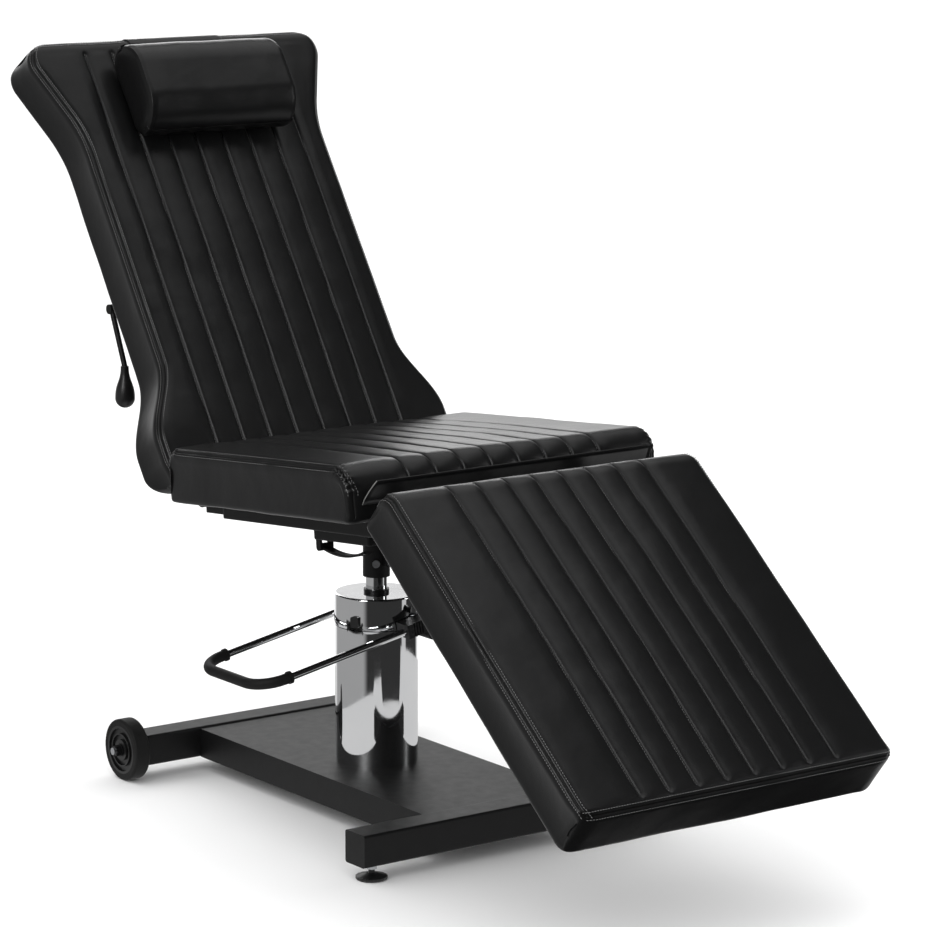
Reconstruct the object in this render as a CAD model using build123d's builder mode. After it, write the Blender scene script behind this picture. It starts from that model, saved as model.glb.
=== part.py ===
from build123d import *
from math import cos, hypot, radians, sin, tan
import os

os.makedirs("parts", exist_ok=True)

# Frame: origin on the floor under the middle of the plan, +Z up, the sitter faces -Y.
# "Along" means along a cushion's length, "across" means along X.

# Overall layout
pump_y = 127.0  # pump axis, behind the middle of the plan
seat_tilt = 5.45  # degrees, the seat's rear is lower
leg_drop = 39.0  # degrees below level
back_lean = 55.8  # degrees above level
leg_hinge_ahead = 369.0  # from the pump axis
leg_hinge_height = 516.0
hinge_behind_seat = 80.0  # of the back's hinge behind the seat cushion's rear end
back_hinge_rise = 16.0  # of the back's hinge over the seat frame's middle plane
back_travel = 61.0  # degrees from upright to flat
leg_travel_up = 44.0  # degrees from the shown pose
leg_travel_down = 18.0
running_fit = 0.05  # radial clearance of a pin or shaft
soft_gap = 0.3  # between a cushion and what it faces
overrun = 5.0  # how far a cut runs past its piece
hex_sides = 6

# Cushions
cushion_width = 570.0
cushion_thickness = 85.0
crown = 5.0
drawn_in = 4.0  # the sides' hollow between the two edges
frame_to_pad = 24.0  # underside of seat and leg rest above the hinge axis
pad_corner = 25.0
channel_pitch = 50.7
channel_count = 8
channel_width = 3.0
channel_depth = 4.0
seat_gap = 20.0  # from the leg's hinge to the seat's front end
seat_length = 500.0
seat_front_roll = 42.0
seat_rear_roll = 25.0
pad_low_roll = 8.0
leg_length = 600.0
leg_overhang = 6.0  # past the hinge axis towards the seat
leg_hinge_roll = 28.0
leg_end_roll = 14.0
back_length = 762.0
back_overhang = 6.0
back_pad_low = 8.0  # the back's rear face above its hinge axis
hip_inset = 21.0  # each side, from the head's width
waist_inset = 57.5
back_base_top = 20.0
back_waist_start = 200.0
flare_radius = 260.0
flare_angle = 18.4  # degrees
head_corner = 50.0
hip_corner = 16.0
back_front_roll = 35.0
back_rear_roll = 45.0
head_front_roll = 22.0
head_rear_roll = 20.0
channel_stop_head = 12.0  # the channels stop short of the head end
channel_stop_leg = 15.0
channel_stop_rear = 28.0
board_thickness = 12.0
board_margin = 34.0
board_end_margin = 50.0

# Pillow and strap
pillow_width = 280.0
pillow_length = 158.0
pillow_height = 80.0
pillow_from_head = 26.0
pillow_round = 62.0
pillow_flat_round = 10.0
pillow_end_round = 9.0
strap_width = 190.0
strap_thickness = 2.0
strap_tail = 120.0  # how far it runs down the rear

# Gap flap
flap_width = 510.0
flap_thickness = 2.5
flap_root_low = 38.0
flap_root_high = 58.0
flap_reach = 19.0  # forward of the seat's front end
flap_top = 88.0
flap_bend = 18.0
flap_tuck_share = 0.5  # of the drawn-in depth, where the flap leaves the cushion

# Frame tubes under the seat
rail_width = 30.0
rail_height = 35.0
rail_outer = 200.0  # outer face from the middle
rail_start = 30.0
rail_end_inset = 20.0  # from the seat cushion's rear end
tube_wall = 2.0
tube_corner = 3.0
cap_thickness = 3.0
cross_width = 25.0
cross_places = (120.0, 215.5, 280.0, 385.0)
arm_thickness = 8.0
lug_thickness = 6.0
arm_to_lug = 2.0
arm_root = 70.0  # welded length along the rail
arm_low = -11.0
arm_top = 18.0
boss_radius = 18.0
pivot_radius = 12.0
pivot_wall = 3.0

# Frames of the back and the leg rest
frame_tube = 25.0
back_rail_start = 28.0
tail_clearance = 36.0  # from the back's rails to the tail of the pillow's strap
back_cross_from_end = 20.0
back_rail_end = back_length - back_overhang - strap_tail - tail_clearance
back_cross_places = (120.0, 340.0, back_rail_end - back_cross_from_end)
leg_rail_start = 24.0
leg_rail_end = 560.0
leg_cross_places = (190.0, 480.0)
lug_root = 95.0

# Cranks and links
crank_thickness = 4.0
crank_gap = 12.0  # between a pair of crank plates
crank_end_radius = 9.0
link_pin_radius = 4.0
back_crank_length = 40.0
leg_crank_length = 45.0
spring_across = 120.0
spring_anchor_ahead = 160.0  # of the pump axis
spring_tube_radius = 11.0
spring_tube_length = 196.0
spring_rod_radius = 4.0
spring_rod_inside = 60.0
strut_anchor_ahead = 155.0
strut_tube_radius = 10.0
strut_tube_length = 116.0
strut_rod_radius = 5.0
strut_rod_inside = 45.0
eye_clearance = 3.5  # round the pin of the open pivot
eye_wall = 4.0
eye_thickness = 10.0
anchor_eye_radius = 9.0
anchor_plate = 4.0
anchor_plate_width = 26.0

# Pan, collar and swivel
pan_width = 200.0
pan_start = 250.0
pan_end = 405.0
pan_depth = 37.0
pan_edge = 6.0
collar_radius = 21.5
collar_low = 365.3
rod_radius = 17.0
rod_shoulder = 365.0
rod_low = 105.0
spindle_radius = 14.0
spindle_top = 424.0
piston_height = 20.0
gusset_thickness = 6.0
gusset_reach = 62.0
gusset_drop = 45.0
clamp_screw_radius = 6.0
clamp_screw_head = 3.0
clamp_screw_height = 388.0
clamp_screw_turn = -126.0  # degrees about the pump axis from +X
clamp_screw_spread = 64.0  # degrees between the two screws
clamp_socket_radius = 3.0
clamp_socket_depth = 2.0

# Swivel paddle
paddle_length = 118.0
paddle_width = 16.0
paddle_thickness = 4.0
paddle_sag = 10.0
paddle_across = -84.0
paddle_pivot_inset = 9.0  # from the pan's rear end
paddle_drop = 12.0  # pivot below the pan
paddle_boss = 6.0
paddle_pin_radius = 3.0
paddle_ear = 4.0
paddle_play = 0.5

# Release lever
lever_along = 352.0  # up the back from its hinge
lever_behind = 29.0  # behind the hinge axis
lever_across = -205.0
lever_rod_radius = 4.5
lever_knee_back = -38.0  # the rod's lower end against its pivot
lever_knee_drop = 88.0
grip_length = 68.0
grip_radius = 16.0
grip_neck = 6.5
lever_hub_radius = 8.0
lever_hub_length = 12.0
lever_pin_radius = 4.0
lever_plate = 5.0

# Base
bar_size = 50.0
bar_wall = 2.5
bar_corner = 4.0
bar_low = 23.0
bar_distance = 338.0  # from the pump axis to each bar's middle
front_bar_length = 550.0
rear_bar_length = 460.0
plate_width = 262.0
plate_thickness = 4.0
plate_step = 3.0  # its top lies below the bars' tops
foot_radius = 24.0
foot_height = 9.0
foot_taper = 4.0
foot_notch_radius = 2.2
foot_notch_stand = 1.0  # notch centres outside the rim
foot_notch_count = 18
foot_inset = 25.0  # from the bar's end
foot_ahead = 7.0  # of the bar's middle
stud_radius = 5.0
stud_top = 46.0
nut_radius = 8.5
nut_height = 7.0
wheel_radius = 50.0
wheel_width = 27.0
wheel_gap = 11.0  # from the bar's end
tyre_depth = 11.0
hub_recess = 4.0
hub_web_radius = 17.0
hub_ring_radius = 26.0
hub_ring_width = 2.0
tyre_round = 4.0
axle_radius = 6.0
axle_stand = 15.0  # beyond the wheel's outer face
axle_nut_height = 9.0
axle_washer = 1.5
spacer_radius = 9.0

# Pump
flange_radius = 58.0
flange_height = 10.0
flange_bolt_distance = 47.0
flange_bolt_count = 4
flange_bolt_radius = 6.0
flange_bolt_height = 7.0
cylinder_radius = 34.0
cylinder_wall = 6.0
gland_height = 22.0
cover_radius = 65.5
cover_wall = 1.5
cover_split = 290.0
cover_top = 340.0
cover_seam = 1.5
cap_step = 1.0
cap_roll = 3.0
seal_height = 5.0
seal_wall = 3.0
tab_size = 14.0
tab_height = 17.0
tab_low = 295.0
tab_turn = -154.0
tab_stand = 5.0

# Pedal
pedal_pivot_x = 45.0
pedal_pivot_height = 303.0
pedal_slope = 11.0
pedal_reach = 326.0
pedal_half_width = 90.0
pedal_bend_radius = 45.0
pedal_tube_radius = 5.75
pedal_tube_wall = 1.2
pedal_socket = 54.0  # where the tube leaves the yoke
sleeve_start = 272.0
sleeve_radius = 8.5
sleeve_fit = 0.1
sleeve_collar_radius = 10.0
sleeve_collar_length = 5.0
yoke_inner = 68.0
yoke_outer = 99.0
yoke_boss_radius = 15.0
yoke_arm_height = 22.0
yoke_groove_count = 4
yoke_groove = 2.5  # width of each groove between the ribs
yoke_groove_depth = 1.5
yoke_lug_radius = 8.0
yoke_lug_along = 10.0
yoke_lug_drop = 18.0
pin_radius = 6.0
pin_root = 40.0
pin_head_radius = 9.0
pin_head = 4.0


def side_of(base, across=0.0):
    """The plane seen from the side: x runs along the base plane's y, y along its z."""
    return Plane(origin=base.origin + base.x_dir * across, x_dir=base.y_dir, z_dir=base.x_dir)


def end_of(base, along):
    """The plane seen from the far end: x runs across, y along the base plane's z."""
    return Plane(origin=base.origin + base.y_dir * along, x_dir=base.x_dir, z_dir=base.y_dir * -1)


def save(piece, name):
    piece.part.label = name
    export_step(piece.part, f"parts/{name}.step")


def tilted(degrees_up, origin):
    """A plane whose y runs up and back by this many degrees."""
    angle = radians(degrees_up)
    return Plane(origin=origin, x_dir=(1, 0, 0), z_dir=(0, -sin(angle), cos(angle)))


# Local planes: origin on the hinge axis, x across, y along the cushion, z out of its face
ground = Plane.XY
pump = Plane(origin=(0, pump_y, 0))
seat = tilted(-seat_tilt, (0, pump_y - leg_hinge_ahead, leg_hinge_height))
leg = tilted(leg_drop, seat.origin)
seat_end = seat_gap + seat_length
hinge_span = seat_end + hinge_behind_seat
back_hinge = seat.from_local_coords(Vector(0, hinge_span, back_hinge_rise))
back = tilted(back_lean, back_hinge)

back_head = back_length - back_overhang
pad_top = frame_to_pad + cushion_thickness
back_base_width = cushion_width - 2 * hip_inset
back_waist = cushion_width - 2 * waist_inset
rail_end = seat_end - rail_end_inset
back_pad_top = back_pad_low + cushion_thickness
arm_outer = rail_outer - rail_width
lug_inner = arm_outer + arm_to_lug
side_rail_inner = lug_inner + lug_thickness
bar_top = bar_low + bar_size
foot_across = front_bar_length / 2 - foot_inset
wheel_inner = rear_bar_length / 2 + wheel_gap
wheel_outer = wheel_inner + wheel_width
axle_end = wheel_outer + axle_stand
plate_top = bar_top - plate_step


# Cushions
def pad_profile(start, end, low, high, rolls, grow=0.0):
    """Side outline of a cushion, its four corners rolled: low start, low end, high end, high start."""
    corners = (
        (start - grow, low - grow),
        (end + grow, low - grow),
        (end + grow, high + grow),
        (start - grow, high + grow),
    )
    with BuildSketch() as profile:
        with BuildLine():
            FilletPolyline(*corners, radius=[roll + grow for roll in rolls], close=True)
        make_face()
    return profile.sketch


def pad_outline(start, end, inset):
    """Plan outline of a square cushion."""
    with BuildSketch() as outline:
        with Locations((0, (start + end) / 2)):
            RectangleRounded(cushion_width - 2 * inset, end - start - 2 * inset, pad_corner)
    return outline.sketch


def back_outline(inset):
    """Hourglass outline: wide hips, straight waist, flared head."""
    hip = back_base_width / 2 - inset
    waist = back_waist / 2 - inset
    head = cushion_width / 2 - inset
    low = inset - back_overhang
    high = back_head - inset
    turn = radians(flare_angle)
    flare_rise = flare_radius * sin(turn) + (head - waist - flare_radius * (1 - cos(turn))) / tan(turn)
    middle = ((hip + waist) / 2, (back_base_top + back_waist_start) / 2)
    with BuildSketch() as outline:
        with BuildLine():
            Polyline((0, low), (hip, low), (hip, back_base_top))
            hip_curve = TangentArc((hip, back_base_top), middle, tangent=(0, 1))
            TangentArc(middle, (waist, back_waist_start), tangent=hip_curve % 1)
            Line((waist, back_waist_start), (waist, high - flare_rise))
            flare = JernArc((waist, high - flare_rise), (0, 1), flare_radius, -flare_angle)
            Polyline(flare @ 1, (head, high), (0, high))
            mirror(about=Plane.YZ)
        make_face()
        for end, radius in ((0, hip_corner), (-1, head_corner)):
            row = outline.vertices().group_by(Axis.Y)[end].sort_by(Axis.X)
            fillet([row[0], row[-1]], radius)
    return outline.sketch


def cushion(name, base, outline, profile, low, ends, board, channel_ends):
    """A padded block: drawn-in sides, a crown across, sewn channels and a pocket for its board."""
    high = low + cushion_thickness
    with BuildPart() as pad:
        for level, inset in ((low, 0), ((low + high) / 2, drawn_in), (high + crown, 0)):
            with BuildSketch(base.offset(level)):
                add(outline(inset))
        loft()
        with BuildSketch(side_of(base)):
            add(profile(0))
        extrude(amount=cushion_width, both=True, mode=Mode.INTERSECT)
        with BuildSketch(end_of(base, ends[1] + overrun)):
            with BuildLine():
                Polyline((-cushion_width / 2, high), (-cushion_width / 2, low), (cushion_width / 2, low),
                         (cushion_width / 2, high))
                ThreePointArc((cushion_width / 2, high), (0, high + crown), (-cushion_width / 2, high))
            make_face()
        extrude(amount=ends[1] - ends[0] + 2 * overrun, mode=Mode.INTERSECT)
        for number in range(channel_count):
            across = (number - (channel_count - 1) / 2) * channel_pitch
            depth = channel_depth + crown * (2 * across / cushion_width) ** 2
            with BuildSketch(side_of(base, across - channel_width / 2)):
                add(profile(0))
                add(profile(-depth), mode=Mode.SUBTRACT)
                with Locations(((channel_ends[0] + channel_ends[1]) / 2, (channel_ends[2] + high) / 2 + crown)):
                    Rectangle(channel_ends[1] - channel_ends[0], high - channel_ends[2] + 2 * crown,
                              mode=Mode.INTERSECT)
            extrude(amount=channel_width, mode=Mode.SUBTRACT)
        with BuildSketch(base.offset(low)):
            with Locations((0, (board[1] + board[2]) / 2)):
                RectangleRounded(board[0], board[2] - board[1], pad_corner)
        extrude(amount=board_thickness, mode=Mode.SUBTRACT)
    save(pad, name)
    return pad


def board_panel(name, base, low, board):
    """The plywood panel in the cushion's underside."""
    with BuildPart() as panel:
        with BuildSketch(base.offset(low)):
            with Locations((0, (board[1] + board[2]) / 2)):
                RectangleRounded(board[0], board[2] - board[1], pad_corner)
        extrude(amount=board_thickness)
    save(panel, name)
    return panel


def seat_profile(grow):
    return pad_profile(seat_gap, seat_end, frame_to_pad, pad_top + crown,
                (pad_low_roll, pad_low_roll, seat_rear_roll, seat_front_roll), grow)


def leg_profile(grow):
    return pad_profile(leg_overhang - leg_length, leg_overhang, frame_to_pad, pad_top + crown,
                (pad_low_roll, pad_low_roll, leg_hinge_roll, leg_end_roll), grow)


def back_profile(grow):
    return pad_profile(-back_overhang, back_head, back_pad_low, back_pad_top + crown,
                (back_rear_roll, head_rear_roll, head_front_roll, back_front_roll), grow)


seat_board = (cushion_width - 2 * board_margin, seat_gap + board_end_margin, seat_end - board_end_margin)
leg_board = (cushion_width - 2 * board_margin, leg_overhang - leg_length + board_end_margin,
             leg_overhang - board_end_margin)
back_board = (back_waist - 2 * board_margin, back_rear_roll + board_end_margin, back_head - 2 * board_end_margin)

cushion("seat_cushion", seat, lambda inset: pad_outline(seat_gap, seat_end, inset), seat_profile,
        frame_to_pad, (seat_gap, seat_end), seat_board,
        (seat_gap - overrun, seat_end - channel_stop_rear, flap_root_high))
cushion("leg_cushion", leg, lambda inset: pad_outline(leg_overhang - leg_length, leg_overhang, inset),
        leg_profile, frame_to_pad, (leg_overhang - leg_length, leg_overhang), leg_board,
        (leg_overhang - leg_length + channel_stop_leg, leg_overhang + overrun, pad_top - leg_hinge_roll))
cushion("back_cushion", back, back_outline, back_profile, back_pad_low, (-back_overhang, back_head),
        back_board, (-overrun, back_head - channel_stop_head, back_pad_top - back_front_roll))
board_panel("seat_board", seat, frame_to_pad, seat_board)
board_panel("leg_board", leg, frame_to_pad, leg_board)
board_panel("back_board", back, back_pad_low, back_board)

# Head pillow: a half-round bolster that lies flat on the back
pillow_high = back_head - pillow_from_head
pillow_low = pillow_high - pillow_length
pillow_base = back_pad_top + crown + soft_gap
with BuildPart() as head_pillow:
    with BuildSketch(side_of(back, -pillow_width / 2)):
        add(pad_profile(pillow_low, pillow_high, pillow_base, pillow_base + pillow_height,
                        (pillow_flat_round, pillow_flat_round, pillow_round, pillow_round)))
    extrude(amount=pillow_width)
    fillet(head_pillow.faces().filter_by(Axis.X).edges(), pillow_end_round)
save(head_pillow, "head_pillow")

# Pillow strap: over the head end and down the rear
with BuildPart() as pillow_strap:
    with BuildSketch(side_of(back, -strap_width / 2)):
        add(back_profile(soft_gap + strap_thickness))
        add(back_profile(soft_gap), mode=Mode.SUBTRACT)
        strap_reach = strap_tail + strap_thickness + soft_gap
        with Locations((back_head - strap_tail + strap_reach / 2, back_pad_low - strap_thickness - soft_gap)):
            Rectangle(strap_reach, 2 * cushion_thickness + 2 * crown + 4 * strap_thickness + 4 * soft_gap,
                      mode=Mode.INTERSECT)
        with Locations((back_head - strap_tail, back_pad_top + crown)):
            Rectangle(2 * (strap_tail - pillow_from_head + soft_gap), cushion_thickness, mode=Mode.SUBTRACT)
    extrude(amount=strap_width)
save(pillow_strap, "pillow_strap")

# Gap flap: a soft strip sewn to the seat's front end that leans out over the leg rest
with BuildPart() as gap_flap:
    flap_face = seat_gap + flap_tuck_share * drawn_in - soft_gap
    with BuildSketch(side_of(seat, -flap_width / 2)):
        with BuildLine():
            flap_line = FilletPolyline(
                (flap_face - flap_thickness / 2, flap_root_low),
                (flap_face - flap_thickness / 2, flap_root_high),
                (flap_face - flap_thickness / 2 - flap_reach, flap_top),
                radius=flap_bend,
            )
            offset(flap_line, amount=flap_thickness / 2, side=Side.BOTH, mode=Mode.REPLACE)
        make_face()
    extrude(amount=flap_width)
save(gap_flap, "gap_flap")


# Frame tubes
def tube_section(width, height, wall=tube_wall):
    RectangleRounded(width, height, tube_corner)
    Rectangle(width - 2 * wall, height - 2 * wall, mode=Mode.SUBTRACT)


def arm_outline(boss, root, low, top, bore):
    """A flat arm from its weld to a round boss with a bore."""
    with Locations(((boss[0] + root) / 2, (low + top) / 2)):
        Rectangle(abs(boss[0] - root), top - low)
    with Locations(boss):
        Circle(boss_radius)
        Circle(bore, mode=Mode.SUBTRACT)


def side_rails(name, base, start, end, low, lug_end, lug_top):
    """A pair of tubes along a cushion, each with the lug that hangs it on the pivot tube."""
    middle = side_rail_inner + frame_tube / 2
    with BuildPart() as pair:
        with BuildSketch(end_of(base, end)):
            with Locations((middle, low + frame_tube / 2), (-middle, low + frame_tube / 2)):
                tube_section(frame_tube, frame_tube)
        extrude(amount=end - start)
        for across in (lug_inner, -side_rail_inner):
            with BuildSketch(side_of(base, across)):
                arm_outline((0, 0), lug_end, low, lug_top, pivot_radius - pivot_wall)
            extrude(amount=lug_thickness)
    save(pair, name)


def cross_tubes(name, base, places, half_span, low):
    """Tubes from rail to rail."""
    with BuildPart() as tubes:
        with BuildSketch(side_of(base, -half_span)):
            with Locations(*[(place, low + cross_width / 2) for place in places]):
                tube_section(cross_width, cross_width)
        extrude(amount=2 * half_span)
    save(tubes, name)


rail_low = frame_to_pad - rail_height
with BuildPart() as seat_rails:
    rail_middle = arm_outer + rail_width / 2
    with BuildSketch(end_of(seat, rail_end)):
        with Locations((rail_middle, rail_low + rail_height / 2), (-rail_middle, rail_low + rail_height / 2)):
            tube_section(rail_width, rail_height)
    extrude(amount=rail_end - rail_start)
save(seat_rails, "seat_rails")
cross_tubes("seat_cross_tubes", seat, cross_places, arm_outer, rail_low)
leg_tube_low = frame_to_pad - frame_tube
side_rails("leg_rails", leg, -leg_rail_end, -leg_rail_start, leg_tube_low, -lug_root, arm_top)
cross_tubes("leg_cross_tubes", leg, [-place for place in leg_cross_places], side_rail_inner, leg_tube_low)
back_tube_low = back_pad_low - frame_tube
side_rails("back_rails", back, back_rail_start, back_rail_end, back_tube_low, lug_root, back_pad_low)
cross_tubes("back_cross_tubes", back, back_cross_places, side_rail_inner, back_tube_low)

# Plugs in the seat rails' open ends
with BuildPart() as seat_rail_caps:
    for plug_end in (rail_start, rail_end + cap_thickness):
        with BuildSketch(end_of(seat, plug_end)):
            with Locations((arm_outer + rail_width / 2, rail_low + rail_height / 2),
                           (-arm_outer - rail_width / 2, rail_low + rail_height / 2)):
                RectangleRounded(rail_width, rail_height, tube_corner)
        extrude(amount=cap_thickness)
save(seat_rail_caps, "seat_rail_caps")


# Hinge arms: four plates welded inside the seat rails
arm_inner = arm_outer - arm_thickness
arm_bore = pivot_radius + running_fit
with BuildPart() as hinge_arms:
    for across in (arm_inner, -arm_outer):
        with BuildSketch(side_of(seat, across)):
            arm_outline((hinge_span, back_hinge_rise), rail_end - arm_root, arm_low, arm_top, arm_bore)
            arm_outline((0, 0), rail_start + arm_root, arm_low, arm_top, arm_bore)
        extrude(amount=arm_thickness)
save(hinge_arms, "hinge_arms")


def crank_outline(pin):
    """A plate from the pivot tube to the link's pin, its sides tangent to both ends."""
    with BuildSketch() as outline:
        Circle(boss_radius)
        with Locations(pin):
            Circle(crank_end_radius)
        make_hull()
        Circle(pivot_radius, mode=Mode.SUBTRACT)
    return outline.sketch


def pivot_assembly(name, base, crank_across, pin):
    """Pivot tube on the hinge axis, from lug to lug, with a pair of crank plates and their pin."""
    with BuildPart() as pivot:
        with BuildSketch(side_of(base, -lug_inner)):
            Circle(pivot_radius)
            Circle(pivot_radius - pivot_wall, mode=Mode.SUBTRACT)
        extrude(amount=2 * lug_inner)
        for across in (crank_across - crank_gap / 2 - crank_thickness, crank_across + crank_gap / 2):
            with BuildSketch(side_of(base, across)):
                add(crank_outline(pin))
            extrude(amount=crank_thickness)
        with BuildSketch(side_of(base, crank_across - crank_gap / 2)):
            with Locations(pin):
                Circle(link_pin_radius)
        extrude(amount=crank_gap)
    save(pivot, name)


def crank_pin(length, mid_travel, lean):
    """Place of the pin in the frame's own plane, straight under the axis at half travel."""
    turn = radians(mid_travel + lean)
    return (-length * sin(turn), -length * cos(turn))


back_pin = crank_pin(back_crank_length, -back_travel / 2, back_lean)
leg_pin = crank_pin(leg_crank_length, -(leg_travel_up - leg_travel_down) / 2, leg_drop)
pivot_assembly("back_pivot", back, spring_across, back_pin)
pivot_assembly("leg_pivot", leg, 0.0, leg_pin)

# Links under the seat
back_swing = radians(back_travel / 2)
leg_swing = radians((leg_travel_up + leg_travel_down) / 2)
spring_height = back_hinge.Z - back_crank_length * (1 + cos(back_swing)) / 2
strut_height = leg_hinge_height - leg_crank_length * (1 + cos(leg_swing)) / 2
spring_eye_y = back_hinge.Y + back_crank_length * sin(back_swing)
spring_anchor_y = pump_y - spring_anchor_ahead
leg_rest_swing = radians((leg_travel_up - leg_travel_down) / 2)
strut_eye_y = seat.origin.Y + leg_crank_length * sin(leg_rest_swing)
strut_anchor_y = pump_y - strut_anchor_ahead


def link_line(across, y, height, way):
    """Plane whose normal runs along a link, towards its eye."""
    return Plane(origin=(across, y, height), x_dir=(1, 0, 0), z_dir=(0, way, 0))


def link_tube(name, across, y, height, way, radius, bore, length, bore_length):
    """The outer tube of a link: an eye on its anchor pin and a blind bore for the rod."""
    line = link_line(across, y, height, way)
    crosswise = Plane(origin=(across, y, height), x_dir=(0, 1, 0), z_dir=(1, 0, 0))
    with BuildPart() as link:
        with BuildSketch(line):
            Circle(radius)
        extrude(amount=length)
        with BuildSketch(line.offset(length)):
            Circle(bore)
        extrude(amount=-bore_length, mode=Mode.SUBTRACT)
        for side in (1, -1):
            with BuildSketch(crosswise.offset(side * eye_thickness / 2)):
                Circle(2 * radius)
            extrude(amount=side * (radius - eye_thickness / 2), mode=Mode.SUBTRACT)
        with BuildSketch(crosswise.offset(-eye_thickness / 2)):
            Circle(anchor_eye_radius)
        extrude(amount=eye_thickness)
        with BuildSketch(crosswise):
            Circle(link_pin_radius)
        extrude(amount=radius, both=True, mode=Mode.SUBTRACT)
    save(link, name)


def link_rod(name, across, y, eye_y, height, way, radius, inside):
    """The sliding rod of a link: a shaft and the wide eye of the open pivot."""
    eye_bore = link_pin_radius + eye_clearance
    shaft = abs(eye_y - y) - inside - eye_bore - eye_wall / 2
    with BuildPart() as link:
        with BuildSketch(link_line(across, y, height, way).offset(inside)):
            Circle(radius)
        extrude(amount=shaft)
        with BuildSketch(Plane(origin=(across - eye_thickness / 2, eye_y, height), x_dir=(0, 1, 0), z_dir=(1, 0, 0))):
            Circle(eye_bore + eye_wall)
            Circle(eye_bore, mode=Mode.SUBTRACT)
        extrude(amount=eye_thickness)
    save(link, name)


link_tube("gas_spring_tube", spring_across, spring_anchor_y, spring_height, 1, spring_tube_radius,
          spring_rod_radius + running_fit, spring_tube_length,
          spring_rod_inside + 2 * back_crank_length * sin(back_swing) + overrun)
link_rod("gas_spring_rod", spring_across, spring_anchor_y, spring_eye_y, spring_height, 1, spring_rod_radius,
         spring_tube_length - spring_rod_inside)
link_tube("strut_tube", 0.0, strut_anchor_y, strut_height, -1, strut_tube_radius,
          strut_rod_radius + running_fit, strut_tube_length,
          strut_rod_inside + leg_crank_length * (sin(leg_swing) - sin(leg_rest_swing)) + overrun)
link_rod("strut_rod", 0.0, strut_anchor_y, strut_eye_y, strut_height, -1, strut_rod_radius,
         strut_tube_length - strut_rod_inside)


# Brackets that hang from the first cross tube and hold the links' fixed pins
with BuildPart() as link_anchors:
    for across, y, height in ((spring_across, spring_anchor_y, spring_height), (0.0, strut_anchor_y, strut_height)):
        place = seat.to_local_coords(Vector(across, y, height))
        for plate_side in (across - crank_gap / 2 - anchor_plate, across + crank_gap / 2):
            with BuildSketch(side_of(seat, plate_side)):
                with Locations((place.Y, (place.Z + rail_low) / 2)):
                    Rectangle(anchor_plate_width, rail_low - place.Z)
                with Locations((place.Y, place.Z)):
                    Circle(anchor_plate_width / 2)
                with Locations((place.Y, rail_low + anchor_plate_width)):
                    Rectangle(anchor_plate_width, 2 * anchor_plate_width, mode=Mode.SUBTRACT)
            extrude(amount=anchor_plate)
        with BuildSketch(side_of(seat, across - crank_gap / 2)):
            with Locations((place.Y, place.Z)):
                Circle(link_pin_radius)
        extrude(amount=crank_gap)
save(link_anchors, "link_anchors")

# Mechanism pan under the cross tubes
pan_low = rail_low - pan_depth
paddle_rear = pan_end - paddle_pivot_inset
with BuildPart() as mechanism_pan:
    with BuildSketch(seat.offset(pan_low)):
        with Locations((0, (pan_start + pan_end) / 2)):
            RectangleRounded(pan_width, pan_end - pan_start, pan_edge)
    extrude(amount=pan_depth)
    fillet(mechanism_pan.faces().sort_by(SortBy.AREA)[-2:].edges().group_by(Axis.Z)[0], cap_thickness)
    for across in (paddle_across - paddle_width / 2 - paddle_play - paddle_ear,
                   paddle_across + paddle_width / 2 + paddle_play):
        with BuildSketch(side_of(seat, across)):
            with Locations((paddle_rear, pan_low - paddle_drop)):
                Circle(paddle_boss)
            with Locations((paddle_rear, pan_low - paddle_drop / 2)):
                Rectangle(2 * paddle_boss, paddle_drop)
        extrude(amount=paddle_ear)
    with BuildSketch(side_of(seat, paddle_across - paddle_width / 2 - paddle_play)):
        with Locations((paddle_rear, pan_low - paddle_drop)):
            Circle(paddle_pin_radius)
    extrude(amount=paddle_width + 2 * paddle_play)
save(mechanism_pan, "mechanism_pan")

# Swivel paddle: a bowed strip on a pin under the pan
with BuildPart() as swivel_paddle:
    with BuildSketch(side_of(seat, paddle_across - paddle_width / 2)):
        with Locations((paddle_rear, pan_low - paddle_drop)):
            Circle(paddle_boss)
        with BuildLine():
            paddle_low = pan_low - paddle_drop - paddle_thickness / 2
            paddle_front = paddle_rear - paddle_length
            Line((paddle_rear, paddle_low + paddle_thickness), (paddle_rear, paddle_low))
            ThreePointArc((paddle_rear, paddle_low), (paddle_rear - paddle_length / 2, paddle_low - paddle_sag),
                          (paddle_front, paddle_low))
            Line((paddle_front, paddle_low), (paddle_front, paddle_low + paddle_thickness))
            ThreePointArc((paddle_front, paddle_low + paddle_thickness),
                          (paddle_rear - paddle_length / 2, paddle_low + paddle_thickness - paddle_sag),
                          (paddle_rear, paddle_low + paddle_thickness))
        make_face()
        with Locations((paddle_rear, pan_low - paddle_drop)):
            Circle(paddle_pin_radius + running_fit, mode=Mode.SUBTRACT)
    extrude(amount=paddle_width)
save(swivel_paddle, "swivel_paddle")

# Swivel collar on the ram's spindle, cut to the pan's slope
with BuildPart() as swivel_collar:
    with BuildSketch(pump.offset(collar_low)):
        Circle(collar_radius)
        Circle(spindle_radius + running_fit, mode=Mode.SUBTRACT)
    extrude(amount=leg_hinge_height - collar_low)
    split(bisect_by=seat.offset(pan_low), keep=Keep.BOTTOM)
save(swivel_collar, "swivel_collar")

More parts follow.
